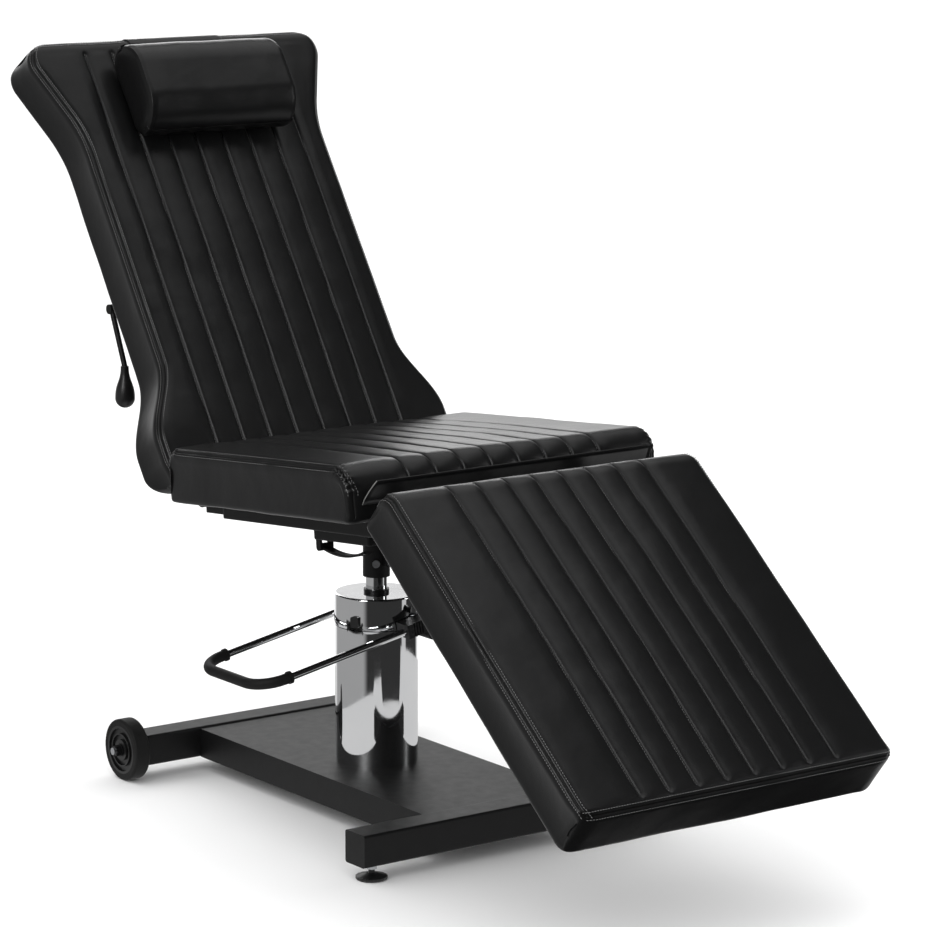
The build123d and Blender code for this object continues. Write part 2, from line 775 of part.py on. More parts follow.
# Gusset between collar and pan
gusset_top = spindle_top + overrun
with BuildPart() as collar_gusset:
    with BuildSketch(side_of(pump, -gusset_thickness / 2)):
        with BuildLine():
            Polyline((-collar_radius, leg_hinge_height), (-collar_radius, gusset_top - gusset_drop),
                     (-collar_radius - gusset_reach, gusset_top), (-collar_radius - gusset_reach, leg_hinge_height),
                     close=True)
        make_face()
    extrude(amount=gusset_thickness)
    split(bisect_by=seat.offset(pan_low), keep=Keep.BOTTOM)
    with BuildSketch(pump.offset(collar_low)):
        Circle(collar_radius)
    extrude(amount=leg_hinge_height - collar_low, mode=Mode.SUBTRACT)
save(collar_gusset, "collar_gusset")

# Socket screws that clamp the collar
with BuildPart() as clamp_screws:
    for turn in (clamp_screw_turn, clamp_screw_turn + clamp_screw_spread):
        direction = Vector(cos(radians(turn)), sin(radians(turn)), 0)
        seat_point = Vector(0, pump_y, clamp_screw_height) + direction * collar_radius
        with BuildSketch(Plane(origin=seat_point, z_dir=direction)):
            Circle(clamp_screw_radius)
        extrude(amount=clamp_screw_head)
        with BuildSketch(Plane(origin=seat_point + direction * clamp_screw_head, z_dir=direction)):
            RegularPolygon(clamp_socket_radius, side_count=hex_sides)
        extrude(amount=-clamp_socket_depth, mode=Mode.SUBTRACT)
    with BuildSketch(pump.offset(collar_low)):
        Circle(collar_radius)
    extrude(amount=leg_hinge_height - collar_low, mode=Mode.SUBTRACT)
save(clamp_screws, "clamp_screws")

# Ram
with BuildPart() as piston_rod:
    with BuildSketch(pump.offset(rod_low)):
        Circle(rod_radius)
    extrude(amount=rod_shoulder - rod_low)
    with BuildSketch(pump.offset(rod_shoulder)):
        Circle(spindle_radius)
    extrude(amount=spindle_top - rod_shoulder)
save(piston_rod, "piston_rod")

with BuildPart() as piston_head:
    with BuildSketch(pump.offset(rod_low - piston_height)):
        Circle(cylinder_radius - cylinder_wall - running_fit)
    extrude(amount=piston_height)
save(piston_head, "piston_head")

# Base bars
with BuildPart() as front_crossbar:
    front_bar = Plane(origin=(0, pump_y - bar_distance, bar_low + bar_size / 2))
    with BuildSketch(side_of(front_bar, cap_thickness - front_bar_length / 2)):
        RectangleRounded(bar_size, bar_size, bar_corner)
        Rectangle(bar_size - 2 * bar_wall, bar_size - 2 * bar_wall, mode=Mode.SUBTRACT)
    extrude(amount=front_bar_length - 2 * cap_thickness)
    with BuildSketch(front_bar.offset(-bar_size / 2)):
        with Locations((foot_across, -foot_ahead), (-foot_across, -foot_ahead)):
            Circle(stud_radius + running_fit)
    extrude(amount=bar_wall, mode=Mode.SUBTRACT)
save(front_crossbar, "front_crossbar")

with BuildPart() as rear_crossbar:
    rear_bar = Plane(origin=(0, pump_y + bar_distance, bar_low + bar_size / 2))
    with BuildSketch(side_of(rear_bar, cap_thickness - rear_bar_length / 2)):
        RectangleRounded(bar_size, bar_size, bar_corner)
        Rectangle(bar_size - 2 * bar_wall, bar_size - 2 * bar_wall, mode=Mode.SUBTRACT)
    extrude(amount=rear_bar_length - 2 * cap_thickness)
save(rear_crossbar, "rear_crossbar")

with BuildPart() as bar_end_plates:
    for bar, length in ((front_bar, front_bar_length), (rear_bar, rear_bar_length)):
        for across in (-length / 2, length / 2 - cap_thickness):
            with BuildSketch(side_of(bar, across)):
                RectangleRounded(bar_size, bar_size, bar_corner)
            extrude(amount=cap_thickness)
save(bar_end_plates, "bar_end_plates")

# Base plate: a channel with its skirts down, from bar to bar
with BuildPart() as base_plate:
    with BuildSketch(end_of(pump, bar_distance - bar_size / 2)):
        with Locations((0, (bar_low + plate_top) / 2)):
            Rectangle(plate_width, plate_top - bar_low)
        with Locations((0, (bar_low + plate_top) / 2 - plate_thickness)):
            Rectangle(plate_width - 2 * plate_thickness, plate_top - bar_low, mode=Mode.SUBTRACT)
    extrude(amount=2 * bar_distance - bar_size)
save(base_plate, "base_plate")


# Levelling feet
def levelling_foot(name, across):
    place = Plane(origin=(across, pump_y - bar_distance - foot_ahead, 0))
    with BuildPart() as foot:
        with BuildSketch(side_of(place)):
            with BuildLine():
                Polyline((0, 0), (foot_radius - foot_taper / 2, 0), (foot_radius, foot_taper / 2),
                         (foot_radius, foot_height - foot_taper), (stud_radius + foot_taper, foot_height),
                         (stud_radius, foot_height), (stud_radius, stud_top), (0, stud_top), close=True)
            make_face()
        revolve(axis=Axis((across, pump_y - bar_distance - foot_ahead, 0), (0, 0, 1)))
        with BuildSketch(place):
            with PolarLocations(foot_radius + foot_notch_stand, foot_notch_count):
                Circle(foot_notch_radius)
        extrude(amount=foot_height, mode=Mode.SUBTRACT)
    save(foot, name)


levelling_foot("left_foot", foot_across)
levelling_foot("right_foot", -foot_across)

with BuildPart() as foot_nuts:
    with BuildSketch(Plane.XY.offset(bar_low - nut_height)):
        with Locations((foot_across, pump_y - bar_distance - foot_ahead), (-foot_across, pump_y - bar_distance
                       - foot_ahead)):
            RegularPolygon(nut_radius, side_count=hex_sides)
            Circle(stud_radius + running_fit, mode=Mode.SUBTRACT)
    extrude(amount=nut_height)
save(foot_nuts, "foot_nuts")


# Wheels
def wheel(side_name, way):
    """A tyre on a dished hub that turns on its axle."""
    start = way * wheel_inner
    place = Plane(origin=(start, pump_y + bar_distance, wheel_radius), x_dir=(0, 1, 0), z_dir=(way, 0, 0))
    axis = Axis((0, pump_y + bar_distance, wheel_radius), (1, 0, 0))
    rim = wheel_radius - tyre_depth
    with BuildPart() as tyre:
        with BuildSketch(place):
            Circle(wheel_radius)
            Circle(rim, mode=Mode.SUBTRACT)
        extrude(amount=wheel_width)
        fillet(tyre.edges().filter_by(GeomType.CIRCLE).filter_by(
            lambda edge: edge.radius > rim + tyre_round), tyre_round)
    save(tyre, f"{side_name}_tyre")
    with BuildPart() as hub:
        with BuildSketch(place):
            Circle(rim)
            Circle(axle_radius + running_fit, mode=Mode.SUBTRACT)
        extrude(amount=wheel_width)
        for level in (0, wheel_width - hub_recess):
            with BuildSketch(place.offset(level)):
                Circle(rim - hub_recess)
                Circle(hub_ring_radius + hub_ring_width / 2, mode=Mode.SUBTRACT)
                Circle(hub_ring_radius - hub_ring_width / 2)
                Circle(hub_web_radius, mode=Mode.SUBTRACT)
            extrude(amount=hub_recess, mode=Mode.SUBTRACT)
    save(hub, f"{side_name}_hub")


wheel("left", 1)
wheel("right", -1)

with BuildPart() as wheel_axles:
    for way in (1, -1):
        with BuildSketch(side_of(Plane(origin=(0, pump_y + bar_distance, wheel_radius)), way * rear_bar_length / 2)):
            Circle(axle_radius)
        extrude(amount=way * (axle_end - rear_bar_length / 2))
save(wheel_axles, "wheel_axles")

with BuildPart() as wheel_spacers:
    for way in (1, -1):
        with BuildSketch(side_of(Plane(origin=(0, pump_y + bar_distance, wheel_radius)), way * rear_bar_length / 2)):
            Circle(spacer_radius)
            Circle(axle_radius, mode=Mode.SUBTRACT)
        extrude(amount=way * (wheel_inner - soft_gap - rear_bar_length / 2))
save(wheel_spacers, "wheel_spacers")

with BuildPart() as axle_nuts:
    for way in (1, -1):
        nut_start = way * (wheel_outer + soft_gap)
        with BuildSketch(side_of(Plane(origin=(0, pump_y + bar_distance, wheel_radius)), nut_start)):
            Circle(spacer_radius + axle_washer)
            Circle(axle_radius, mode=Mode.SUBTRACT)
        extrude(amount=way * axle_washer)
        with BuildSketch(side_of(Plane(origin=(0, pump_y + bar_distance, wheel_radius)), nut_start + way * axle_washer)):
            RegularPolygon(spacer_radius, side_count=hex_sides)
            Circle(axle_radius, mode=Mode.SUBTRACT)
        extrude(amount=way * axle_nut_height)
save(axle_nuts, "axle_nuts")

# Pump body
flange_top = plate_top + flange_height
with BuildPart() as pump_flange:
    with BuildSketch(pump.offset(plate_top)):
        Circle(flange_radius)
    extrude(amount=flange_height)
save(pump_flange, "pump_flange")

with BuildPart() as flange_bolts:
    with BuildSketch(pump.offset(flange_top)):
        with PolarLocations(flange_bolt_distance, flange_bolt_count, start_angle=180 / flange_bolt_count):
            RegularPolygon(flange_bolt_radius, side_count=hex_sides)
    extrude(amount=flange_bolt_height)
save(flange_bolts, "flange_bolts")

gland_top = cover_top - cover_wall
with BuildPart() as pump_cylinder:
    with BuildSketch(pump.offset(flange_top)):
        Circle(cylinder_radius)
    extrude(amount=gland_top - gland_height - flange_top)
    with BuildSketch(pump.offset(flange_top)):
        Circle(cylinder_radius - cylinder_wall)
    extrude(amount=gland_top - gland_height - flange_top, mode=Mode.SUBTRACT)
save(pump_cylinder, "pump_cylinder")

with BuildPart() as rod_gland:
    with BuildSketch(pump.offset(gland_top - gland_height)):
        Circle(cylinder_radius)
        Circle(rod_radius + running_fit, mode=Mode.SUBTRACT)
    extrude(amount=gland_height)
    with BuildSketch(pump.offset(gland_top)):
        Circle(rod_radius + seal_wall)
        Circle(rod_radius + running_fit, mode=Mode.SUBTRACT)
    extrude(amount=cover_wall + seal_height)
save(rod_gland, "rod_gland")

# Polished cover in two pieces
with BuildPart() as pump_cover:
    with BuildSketch(pump.offset(plate_top)):
        Circle(cover_radius)
        Circle(cover_radius - cover_wall, mode=Mode.SUBTRACT)
    extrude(amount=cover_split - cover_seam - plate_top)
save(pump_cover, "pump_cover")

with BuildPart() as cover_cap:
    with BuildSketch(pump.offset(cover_split)):
        Circle(cover_radius + cap_step)
    extrude(amount=cover_top - cover_split)
    fillet(cover_cap.faces().sort_by(Axis.Z)[-1].edges(), cap_roll)
    with BuildSketch(pump.offset(cover_split)):
        Circle(cover_radius + cap_step - cover_wall)
    extrude(amount=gland_top - cover_split, mode=Mode.SUBTRACT)
    with BuildSketch(pump.offset(gland_top)):
        Circle(rod_radius + seal_wall)
    extrude(amount=cover_wall, mode=Mode.SUBTRACT)
    with BuildSketch(Plane(origin=(pedal_pivot_x, pump_y, pedal_pivot_height), z_dir=(0, 1, 0))):
        Circle(pin_radius)
    extrude(amount=cover_radius + cap_step, both=True, mode=Mode.SUBTRACT)
save(cover_cap, "cover_cap")

# Moulded tab on the cover's seam
with BuildPart() as cover_tab:
    tab_way = Vector(cos(radians(tab_turn)), sin(radians(tab_turn)), 0)
    with BuildSketch(Plane(origin=Vector(0, pump_y, tab_low + tab_height / 2), z_dir=tab_way, x_dir=(0, 0, 1))):
        RectangleRounded(tab_height, tab_size, cap_roll)
    extrude(amount=cover_radius + cap_step + tab_stand)
    with BuildSketch(pump.offset(tab_low)):
        Circle(cover_radius + cap_step)
    extrude(amount=tab_height, mode=Mode.SUBTRACT)
save(cover_tab, "cover_tab")

# Pedal
slope = radians(pedal_slope)
pedal = Plane(origin=(pedal_pivot_x, pump_y, pedal_pivot_height), x_dir=(-cos(slope), 0, -sin(slope)),
              z_dir=(-sin(slope), 0, cos(slope)))


def pedal_path(start):
    """The pedal's U from one arm to the other, starting this far out."""
    with BuildLine(pedal) as path:
        FilletPolyline((start, -pedal_half_width), (pedal_reach, -pedal_half_width), (pedal_reach, pedal_half_width),
                       (start, pedal_half_width), radius=pedal_bend_radius)
    return path.line


with BuildPart() as pedal_tube:
    tube_path = pedal_path(pedal_socket)
    with BuildSketch(Plane(origin=tube_path @ 0, z_dir=tube_path % 0)):
        Circle(pedal_tube_radius)
        Circle(pedal_tube_radius - pedal_tube_wall, mode=Mode.SUBTRACT)
    sweep(path=tube_path)
save(pedal_tube, "pedal_tube")

sleeve_bore = pedal_tube_radius + sleeve_fit
with BuildPart() as pedal_sleeve:
    sleeve_path = pedal_path(sleeve_start)
    with BuildSketch(Plane(origin=sleeve_path @ 0, z_dir=sleeve_path % 0)):
        Circle(sleeve_radius)
        Circle(sleeve_bore, mode=Mode.SUBTRACT)
    sweep(path=sleeve_path)
    for way in (1, -1):
        with BuildSketch(Plane(origin=pedal.from_local_coords(Vector(sleeve_start, way * pedal_half_width, 0)),
                               z_dir=pedal.x_dir)):
            Circle(sleeve_collar_radius)
            Circle(sleeve_bore, mode=Mode.SUBTRACT)
        extrude(amount=sleeve_collar_length)
save(pedal_sleeve, "pedal_sleeve")

# Yoke castings: one each side of the cover, hinged on the pins, with a lug below and grooved faces
with BuildPart() as pedal_yoke:
    for across in (yoke_inner, -yoke_outer):
        face = Plane(origin=(pedal_pivot_x, pump_y + across, pedal_pivot_height), x_dir=pedal.x_dir, z_dir=(0, 1, 0))
        with BuildSketch(face):
            Circle(yoke_boss_radius)
            with Locations((yoke_lug_along, -yoke_lug_drop)):
                Circle(yoke_lug_radius)
            make_hull()
            with Locations((pedal_socket / 2, 0)):
                Rectangle(pedal_socket, yoke_arm_height)
            Circle(pin_radius + running_fit, mode=Mode.SUBTRACT)
        extrude(amount=yoke_outer - yoke_inner)
        for level, inward in ((0, yoke_groove_depth), (yoke_outer - yoke_inner, -yoke_groove_depth)):
            with BuildSketch(face.offset(level)):
                with Locations(((yoke_boss_radius + pedal_socket) / 2, 0)):
                    with GridLocations(2 * yoke_groove, 0, yoke_groove_count, 1):
                        Rectangle(yoke_groove, yoke_arm_height + overrun)
            extrude(amount=inward, mode=Mode.SUBTRACT)
save(pedal_yoke, "pedal_yoke")

with BuildPart() as pedal_pins:
    for way in (1, -1):
        with BuildSketch(Plane(origin=(pedal_pivot_x, pump_y + way * pin_root, pedal_pivot_height),
                               z_dir=(0, way, 0))):
            Circle(pin_radius)
        extrude(amount=yoke_outer + soft_gap - pin_root)
        with BuildSketch(Plane(origin=(pedal_pivot_x, pump_y + way * (yoke_outer + soft_gap), pedal_pivot_height),
                               z_dir=(0, way, 0))):
            Circle(pin_head_radius)
        extrude(amount=pin_head)
save(pedal_pins, "pedal_pins")

# Release lever behind the waist
lever_pivot = back.from_local_coords(Vector(lever_across, lever_along, -lever_behind))
with BuildPart() as lever_bracket:
    with BuildSketch(side_of(back, lever_across + lever_hub_length / 2 + soft_gap)):
        with Locations((lever_along, -lever_behind)):
            Circle(lever_hub_radius)
        with Locations((lever_along, (back_tube_low - lever_behind) / 2)):
            Rectangle(2 * lever_hub_radius, back_tube_low + lever_behind)
    extrude(amount=lever_plate)
    with BuildSketch(side_of(back, lever_across - lever_hub_length / 2)):
        with Locations((lever_along, -lever_behind)):
            Circle(lever_pin_radius)
    extrude(amount=lever_hub_length + soft_gap)
save(lever_bracket, "lever_bracket")

lever_side = Plane(origin=lever_pivot, x_dir=(0, 1, 0), z_dir=(1, 0, 0))
knee = (lever_knee_back, -lever_knee_drop)
knee_point = lever_side.from_local_coords(Vector(knee[0], knee[1], 0))
with BuildPart() as lever_rod:
    with BuildSketch(lever_side.offset(-lever_hub_length / 2)):
        Circle(lever_hub_radius)
        Circle(lever_pin_radius + running_fit, mode=Mode.SUBTRACT)
    extrude(amount=lever_hub_length)
    rod_way = (knee_point - lever_pivot).normalized()
    with BuildSketch(Plane(origin=lever_pivot + rod_way * (lever_hub_radius - cap_thickness), z_dir=rod_way)):
        Circle(lever_rod_radius)
    extrude(amount=hypot(*knee))
    split(bisect_by=Plane.XY.offset(knee_point.Z), keep=Keep.TOP)
save(lever_rod, "lever_rod")

# Teardrop grip hanging from the rod's lower end
with BuildPart() as lever_grip:
    with BuildSketch(Plane(origin=knee_point, x_dir=(0, 1, 0), z_dir=(1, 0, 0))):
        with BuildLine():
            grip_ball = grip_length - grip_radius
            Line((0, 0), (grip_neck, 0))
            grip_side = Bezier((grip_neck, 0), (grip_neck, -grip_ball / 2), (grip_radius, -grip_ball / 2),
                               (grip_radius, -grip_ball))
            RadiusArc(grip_side @ 1, (0, -grip_length), grip_radius)
            Line((0, -grip_length), (0, 0))
        make_face()
    revolve(axis=Axis(knee_point, (0, 0, 1)))
save(lever_grip, "lever_grip")
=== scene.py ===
import math

import bmesh
import bpy
import numpy as np
from mathutils import Matrix, Vector, noise


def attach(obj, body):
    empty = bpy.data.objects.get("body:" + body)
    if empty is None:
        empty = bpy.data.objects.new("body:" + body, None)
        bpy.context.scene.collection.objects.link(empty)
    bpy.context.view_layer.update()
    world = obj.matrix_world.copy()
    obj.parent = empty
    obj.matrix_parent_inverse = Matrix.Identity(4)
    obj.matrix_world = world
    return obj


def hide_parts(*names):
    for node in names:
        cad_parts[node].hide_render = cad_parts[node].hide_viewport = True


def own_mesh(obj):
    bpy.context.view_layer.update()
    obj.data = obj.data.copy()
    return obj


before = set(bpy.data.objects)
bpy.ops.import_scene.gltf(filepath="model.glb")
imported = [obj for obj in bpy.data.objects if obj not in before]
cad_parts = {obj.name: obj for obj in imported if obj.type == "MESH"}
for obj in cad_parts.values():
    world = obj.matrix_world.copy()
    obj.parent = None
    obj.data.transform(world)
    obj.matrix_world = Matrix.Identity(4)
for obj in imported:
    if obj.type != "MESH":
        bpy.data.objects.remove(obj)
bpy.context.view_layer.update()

MM = 0.001


# Frames of the three upholstered sections, as the steel under them is built

def tilted(degrees, origin):
    """A frame whose x runs across the chair and whose y climbs by this angle: its origin and its three axes."""
    turn = math.radians(degrees)
    axes = np.array([
        [1, 0, 0],
        [0, math.cos(turn), math.sin(turn)],
        [0, -math.sin(turn), math.cos(turn)],
    ])
    return np.array(origin, float), axes


def placed(frame_of, points):
    """Millimetre points of a section's own frame, in metres in the chair's frame."""
    origin, axes = frame_of
    return (origin + np.asarray(points, float) @ axes) * MM


LEG_HINGE = (0.0, -242.0, 516.0)
SEAT = tilted(-5.45, LEG_HINGE)
LEG = tilted(39.0, LEG_HINGE)
BACK_HINGE = SEAT[0] + np.array([0, 600.0, 16.0]) @ SEAT[1]
# The back's padding stands a shade steeper and further out than its steel, as in the photograph
BACK = tilted(56.4, BACK_HINGE + np.array([0, 3.0, 4.0]))


# Node trees and finishes

class Amount:
    """What a node puts out. Where it is a plain number, it takes part in sums."""

    def __init__(self, wiring, socket):
        self.wiring, self.socket = wiring, socket

    def _sum(self, operation, first, second):
        return self.wiring.add("ShaderNodeMath", {"operation": operation}, {0: first, 1: second})

    def __add__(self, other):
        return self._sum("ADD", self, other)

    def __sub__(self, other):
        return self._sum("SUBTRACT", self, other)

    def __rsub__(self, other):
        return self._sum("SUBTRACT", other, self)

    def __mul__(self, other):
        return self._sum("MULTIPLY", self, other)

    def __pow__(self, other):
        return self._sum("POWER", self, other)

    def __rpow__(self, other):
        return self._sum("POWER", other, self)

    __radd__, __rmul__ = __add__, __mul__


class Wiring:
    """A node tree that is built up one node at a time."""

    def __init__(self, tree):
        self.tree = tree

    def add(self, kind, settings=None, inputs=None, output=0):
        """One node: its settings first, then the values or links of its sockets."""
        node = self.tree.nodes.new(kind)
        for name, value in (settings or {}).items():
            setattr(node, name, value)
        for name, value in (inputs or {}).items():
            if isinstance(value, Amount):
                self.tree.links.new(value.socket, node.inputs[name])
            else:
                node.inputs[name].default_value = value
        return Amount(self, node.outputs[output])


class Finish(Wiring):
    """A surface finish on one Principled shader."""

    # Sockets of a node that mixes colours: its share, its two colours and what it puts out
    MIX_SHARE, MIX_FIRST, MIX_SECOND, MIXED = 0, 6, 7, 2

    def __init__(self, name, **even):
        self.material = bpy.data.materials.new(name)
        self.material.use_nodes = True
        super().__init__(self.material.node_tree)
        self.shader = self.tree.nodes["Principled BSDF"]
        for socket, value in even.items():
            self.shader.inputs[socket.replace("_", " ")].default_value = value
        self.place = self.add("ShaderNodeTexCoord", output="Object")

    def drive(self, socket, value):
        """Let an amount feed one socket of the shader."""
        self.tree.links.new(value.socket, self.shader.inputs[socket])

    def clouds(self, scale, detail=3.0, rough=0.5):
        """Soft irregular patches, so many to the metre."""
        return self.add("ShaderNodeTexNoise", None, {
            "Vector": self.place, "Scale": scale, "Detail": detail, "Roughness": rough,
        })

    def cells(self, scale, feature="F1"):
        """Packed cells such as the pebbles of a grain, so many to the metre."""
        return self.add("ShaderNodeTexVoronoi", {"feature": feature}, {"Vector": self.place, "Scale": scale})

    def between(self, amount, low, high):
        """An amount from 0 to 1 turned into one from low to high."""
        return amount * (high - low) + low

    def tint(self, amount, first, second):
        """The colour between two, by an amount from 0 to 1."""
        return self.add("ShaderNodeMix", {"data_type": "RGBA"}, {
            self.MIX_SHARE: amount, self.MIX_FIRST: (*first, 1), self.MIX_SECOND: (*second, 1),
        }, output=self.MIXED)

    def relief(self, *layers):
        """Bumps laid over each other: each layer is a height and its depth in metres."""
        under = None
        for height, depth in layers:
            inputs = {"Height": height, "Distance": depth, "Strength": 1.0}
            if under is not None:
                inputs["Normal"] = under
            under = self.add("ShaderNodeBump", None, inputs)
        self.drive("Normal", under)


def vinyl_finish():
    """Soft black upholstery vinyl: fine pebble grain, rougher in its folds, with painted shade darkening its colour
    there.
    """
    f = Finish("black_vinyl", Specular_IOR_Level=0.4)
    crease = f.add("ShaderNodeAttribute", {"attribute_name": "crease"}, output="Fac")
    patches = f.clouds(9.0)
    # Painted shade: the colour is darker where the skin is creased, in the grooves and seams
    f.drive("Base Color", f.tint(crease, (0.0034, 0.0034, 0.0036), (0.0012, 0.0012, 0.0013)))
    f.drive("Roughness", f.between(patches, 0.28, 0.36) + crease * 0.25)
    f.relief(
        (f.clouds(22.0, 2.0), 0.0009),
        (f.cells(760.0, "SMOOTH_F1"), 0.00010),
        (f.clouds(1500.0, 2.0), 0.00004),
    )
    return f.material


def cut_edge_highlight_finish():
    """The cut edge of backed vinyl, painted pale as a highlight along it."""
    f = Finish("cut_vinyl_edge_highlight", Specular_IOR_Level=0.3)
    f.drive("Base Color", f.tint(f.clouds(600.0), (0.10, 0.10, 0.10), (0.22, 0.22, 0.21)))
    f.drive("Roughness", f.between(f.clouds(300.0), 0.5, 0.7))
    return f.material


def thread_finish():
    """Waxed black sewing thread."""
    f = Finish("sewing_thread", Specular_IOR_Level=0.5)
    f.drive("Base Color", f.tint(f.clouds(900.0), (0.09, 0.09, 0.09), (0.17, 0.17, 0.17)))
    f.drive("Roughness", f.between(f.clouds(700.0), 0.3, 0.5))
    return f.material


def powder_finish():
    """Satin black powder coat with a faint orange peel."""
    f = Finish("black_powder_coat", Specular_IOR_Level=0.24)
    f.drive("Base Color", f.tint(f.clouds(30.0), (0.0035, 0.0035, 0.0037), (0.0065, 0.0065, 0.0068)))
    f.drive("Roughness", f.between(f.clouds(60.0, 5.0), 0.40, 0.52))
    f.relief((f.clouds(700.0, 2.0), 0.00007), (f.clouds(240.0, 2.0), 0.00009))
    return f.material


def chrome_finish():
    """Bright chrome plate with faint polishing haze."""
    f = Finish("chrome_plate", Metallic=1.0)
    f.drive("Base Color", f.tint(f.clouds(20.0), (0.86, 0.87, 0.88), (0.93, 0.93, 0.94)))
    f.drive("Roughness", f.between(f.clouds(85.0, 6.0) ** 2.0, 0.025, 0.11))
    f.relief((f.clouds(6.0, 1.0), 0.0008))
    return f.material


def zinc_finish():
    """Zinc-plated turned steel."""
    f = Finish("zinc_plate", Metallic=1.0)
    f.drive("Base Color", f.tint(f.clouds(140.0), (0.42, 0.43, 0.45), (0.60, 0.61, 0.62)))
    f.drive("Roughness", f.between(f.clouds(260.0, 5.0), 0.22, 0.42))
    f.relief((f.clouds(1200.0, 2.0), 0.00003))
    return f.material


def blackened_finish():
    """Blackened steel hardware, worn a little bright."""
    f = Finish("blackened_steel", Metallic=0.9)
    f.drive("Base Color", f.tint(f.clouds(220.0, 5.0) ** 3.0, (0.02, 0.02, 0.021), (0.10, 0.10, 0.10)))
    f.drive("Roughness", f.between(f.clouds(320.0), 0.28, 0.45))
    f.relief((f.clouds(900.0), 0.00005))
    return f.material


def plastic_finish():
    """Moulded black plastic with a spark-eroded texture."""
    f = Finish("black_plastic", Specular_IOR_Level=0.5)
    f.drive("Base Color", f.tint(f.clouds(90.0), (0.004, 0.004, 0.004), (0.008, 0.008, 0.008)))
    f.drive("Roughness", f.between(f.clouds(150.0, 4.0), 0.30, 0.44))
    f.relief((f.cells(1100.0), 0.00006))
    return f.material


def rubber_finish():
    """Black rubber, dull and slightly dusty."""
    f = Finish("black_rubber", Specular_IOR_Level=0.20)
    f.drive("Base Color", f.tint(f.clouds(45.0, 5.0), (0.005, 0.005, 0.005), (0.011, 0.0108, 0.0105)))
    f.drive("Roughness", f.between(f.clouds(200.0, 4.0), 0.48, 0.68))
    f.relief((f.clouds(1300.0, 3.0), 0.00007))
    return f.material


def plywood_finish():
    """Black-stained plywood, its grain along the chair."""
    f = Finish("stained_plywood", Specular_IOR_Level=0.3)
    stretched = f.add("ShaderNodeMapping", None, {"Vector": f.place, "Scale": (60.0, 4.0, 4.0)})
    grain = f.add("ShaderNodeTexNoise", None, {"Vector": stretched, "Scale": 1.0, "Detail": 6.0})
    f.drive("Base Color", f.tint(grain, (0.006, 0.0055, 0.005), (0.018, 0.016, 0.014)))
    f.drive("Roughness", f.between(grain, 0.55, 0.75))
    f.relief((grain, 0.0004))
    return f.material


VINYL = vinyl_finish()
THREAD = thread_finish()
CUT_EDGE_HIGHLIGHT = cut_edge_highlight_finish()
POWDER, CHROME, ZINC = powder_finish(), chrome_finish(), zinc_finish()
BLACKENED, PLASTIC, RUBBER = blackened_finish(), plastic_finish(), rubber_finish()
PLYWOOD = plywood_finish()

NODES_BY_FINISH = (
    (POWDER, (
        "front_crossbar", "rear_crossbar", "base_plate", "bar_end_plates", "pump_flange", "swivel_collar",
        "collar_gusset", "mechanism_pan", "seat_rails", "seat_cross_tubes", "hinge_arms", "link_anchors",
        "gas_spring_tube", "strut_tube", "swivel_paddle", "back_rails", "back_cross_tubes", "back_pivot",
        "lever_bracket", "lever_rod", "leg_rails", "leg_cross_tubes", "leg_pivot",
    )),
    (CHROME, ("pump_cover", "cover_cap", "pedal_tube", "piston_rod")),
    (ZINC, (
        "wheel_axles", "wheel_spacers", "foot_nuts", "flange_bolts", "clamp_screws", "pedal_pins",
        "gas_spring_rod", "strut_rod", "pump_cylinder", "piston_head",
    )),
    (BLACKENED, ("axle_nuts", "pedal_yoke", "rod_gland")),
    (PLASTIC, ("cover_tab", "lever_grip", "seat_rail_caps", "left_hub", "right_hub", "left_foot", "right_foot")),
    (RUBBER, ("pedal_sleeve", "left_tyre", "right_tyre")),
    (PLYWOOD, ("seat_board", "leg_board", "back_board")),
)


# Meshes

def piece_from(name, vertices, faces, material):
    """A named smooth piece with its place in its mesh, closed and facing outwards."""
    mesh = bpy.data.meshes.new(name)
    mesh.from_pydata([tuple(v) for v in vertices], [], faces)
    work = bmesh.new()
    work.from_mesh(mesh)
    bmesh.ops.recalc_face_normals(work, faces=work.faces)
    work.to_mesh(mesh)
    work.free()
    mesh.polygons.foreach_set("use_smooth", [True] * len(mesh.polygons))
    mesh.materials.append(material)
    piece = bpy.data.objects.new(name, mesh)
    bpy.context.scene.collection.objects.link(piece)
    return piece


def soft_wander(mesh, depths):
    """Small unevenness of padded vinyl: each depth in metres at its wavelength."""
    count = len(mesh.vertices)
    normals = np.empty(count * 3)
    mesh.vertices.foreach_get("normal", normals)
    places = np.empty(count * 3)
    mesh.vertices.foreach_get("co", places)
    normals, places = normals.reshape(-1, 3), places.reshape(-1, 3)
    for wavelength, depth in depths:
        swell = np.array([noise.noise(Vector(p) / wavelength) for p in places])
        places = places + normals * (swell * depth)[:, None]
    mesh.vertices.foreach_set("co", places.ravel())
    mesh.update()


def rounded_run(corners, radii, shares):
    """Points at these shares of a run of straight lines whose inner corners are rounded."""
    points = [np.array(corners[0], float)]
    for before, corner, after, radius in zip(corners, corners[1:], corners[2:], radii):
        before, corner, after = (np.array(p, float) for p in (before, corner, after))
        inward = (before - corner) / np.linalg.norm(before - corner)
        outward = (after - corner) / np.linalg.norm(after - corner)
        middle = corner + (inward + outward) * radius
        for turn in np.linspace(0, math.pi / 2, 33):
            points.append(middle - outward * radius * math.cos(turn) - inward * radius * math.sin(turn))
    points.append(np.array(corners[-1], float))
    points = np.array(points)
    along = np.concatenate([[0], np.cumsum(np.linalg.norm(np.diff(points, axis=0), axis=1))])
    return np.stack([np.interp(shares * along[-1], along, points[:, k]) for k in range(2)], 1)


def ease(amount):
    """From 0 to 1 with soft ends, as the amount goes from 0 to 1."""
    amount = np.clip(amount, 0, 1)
    return amount * amount * (3 - 2 * amount)


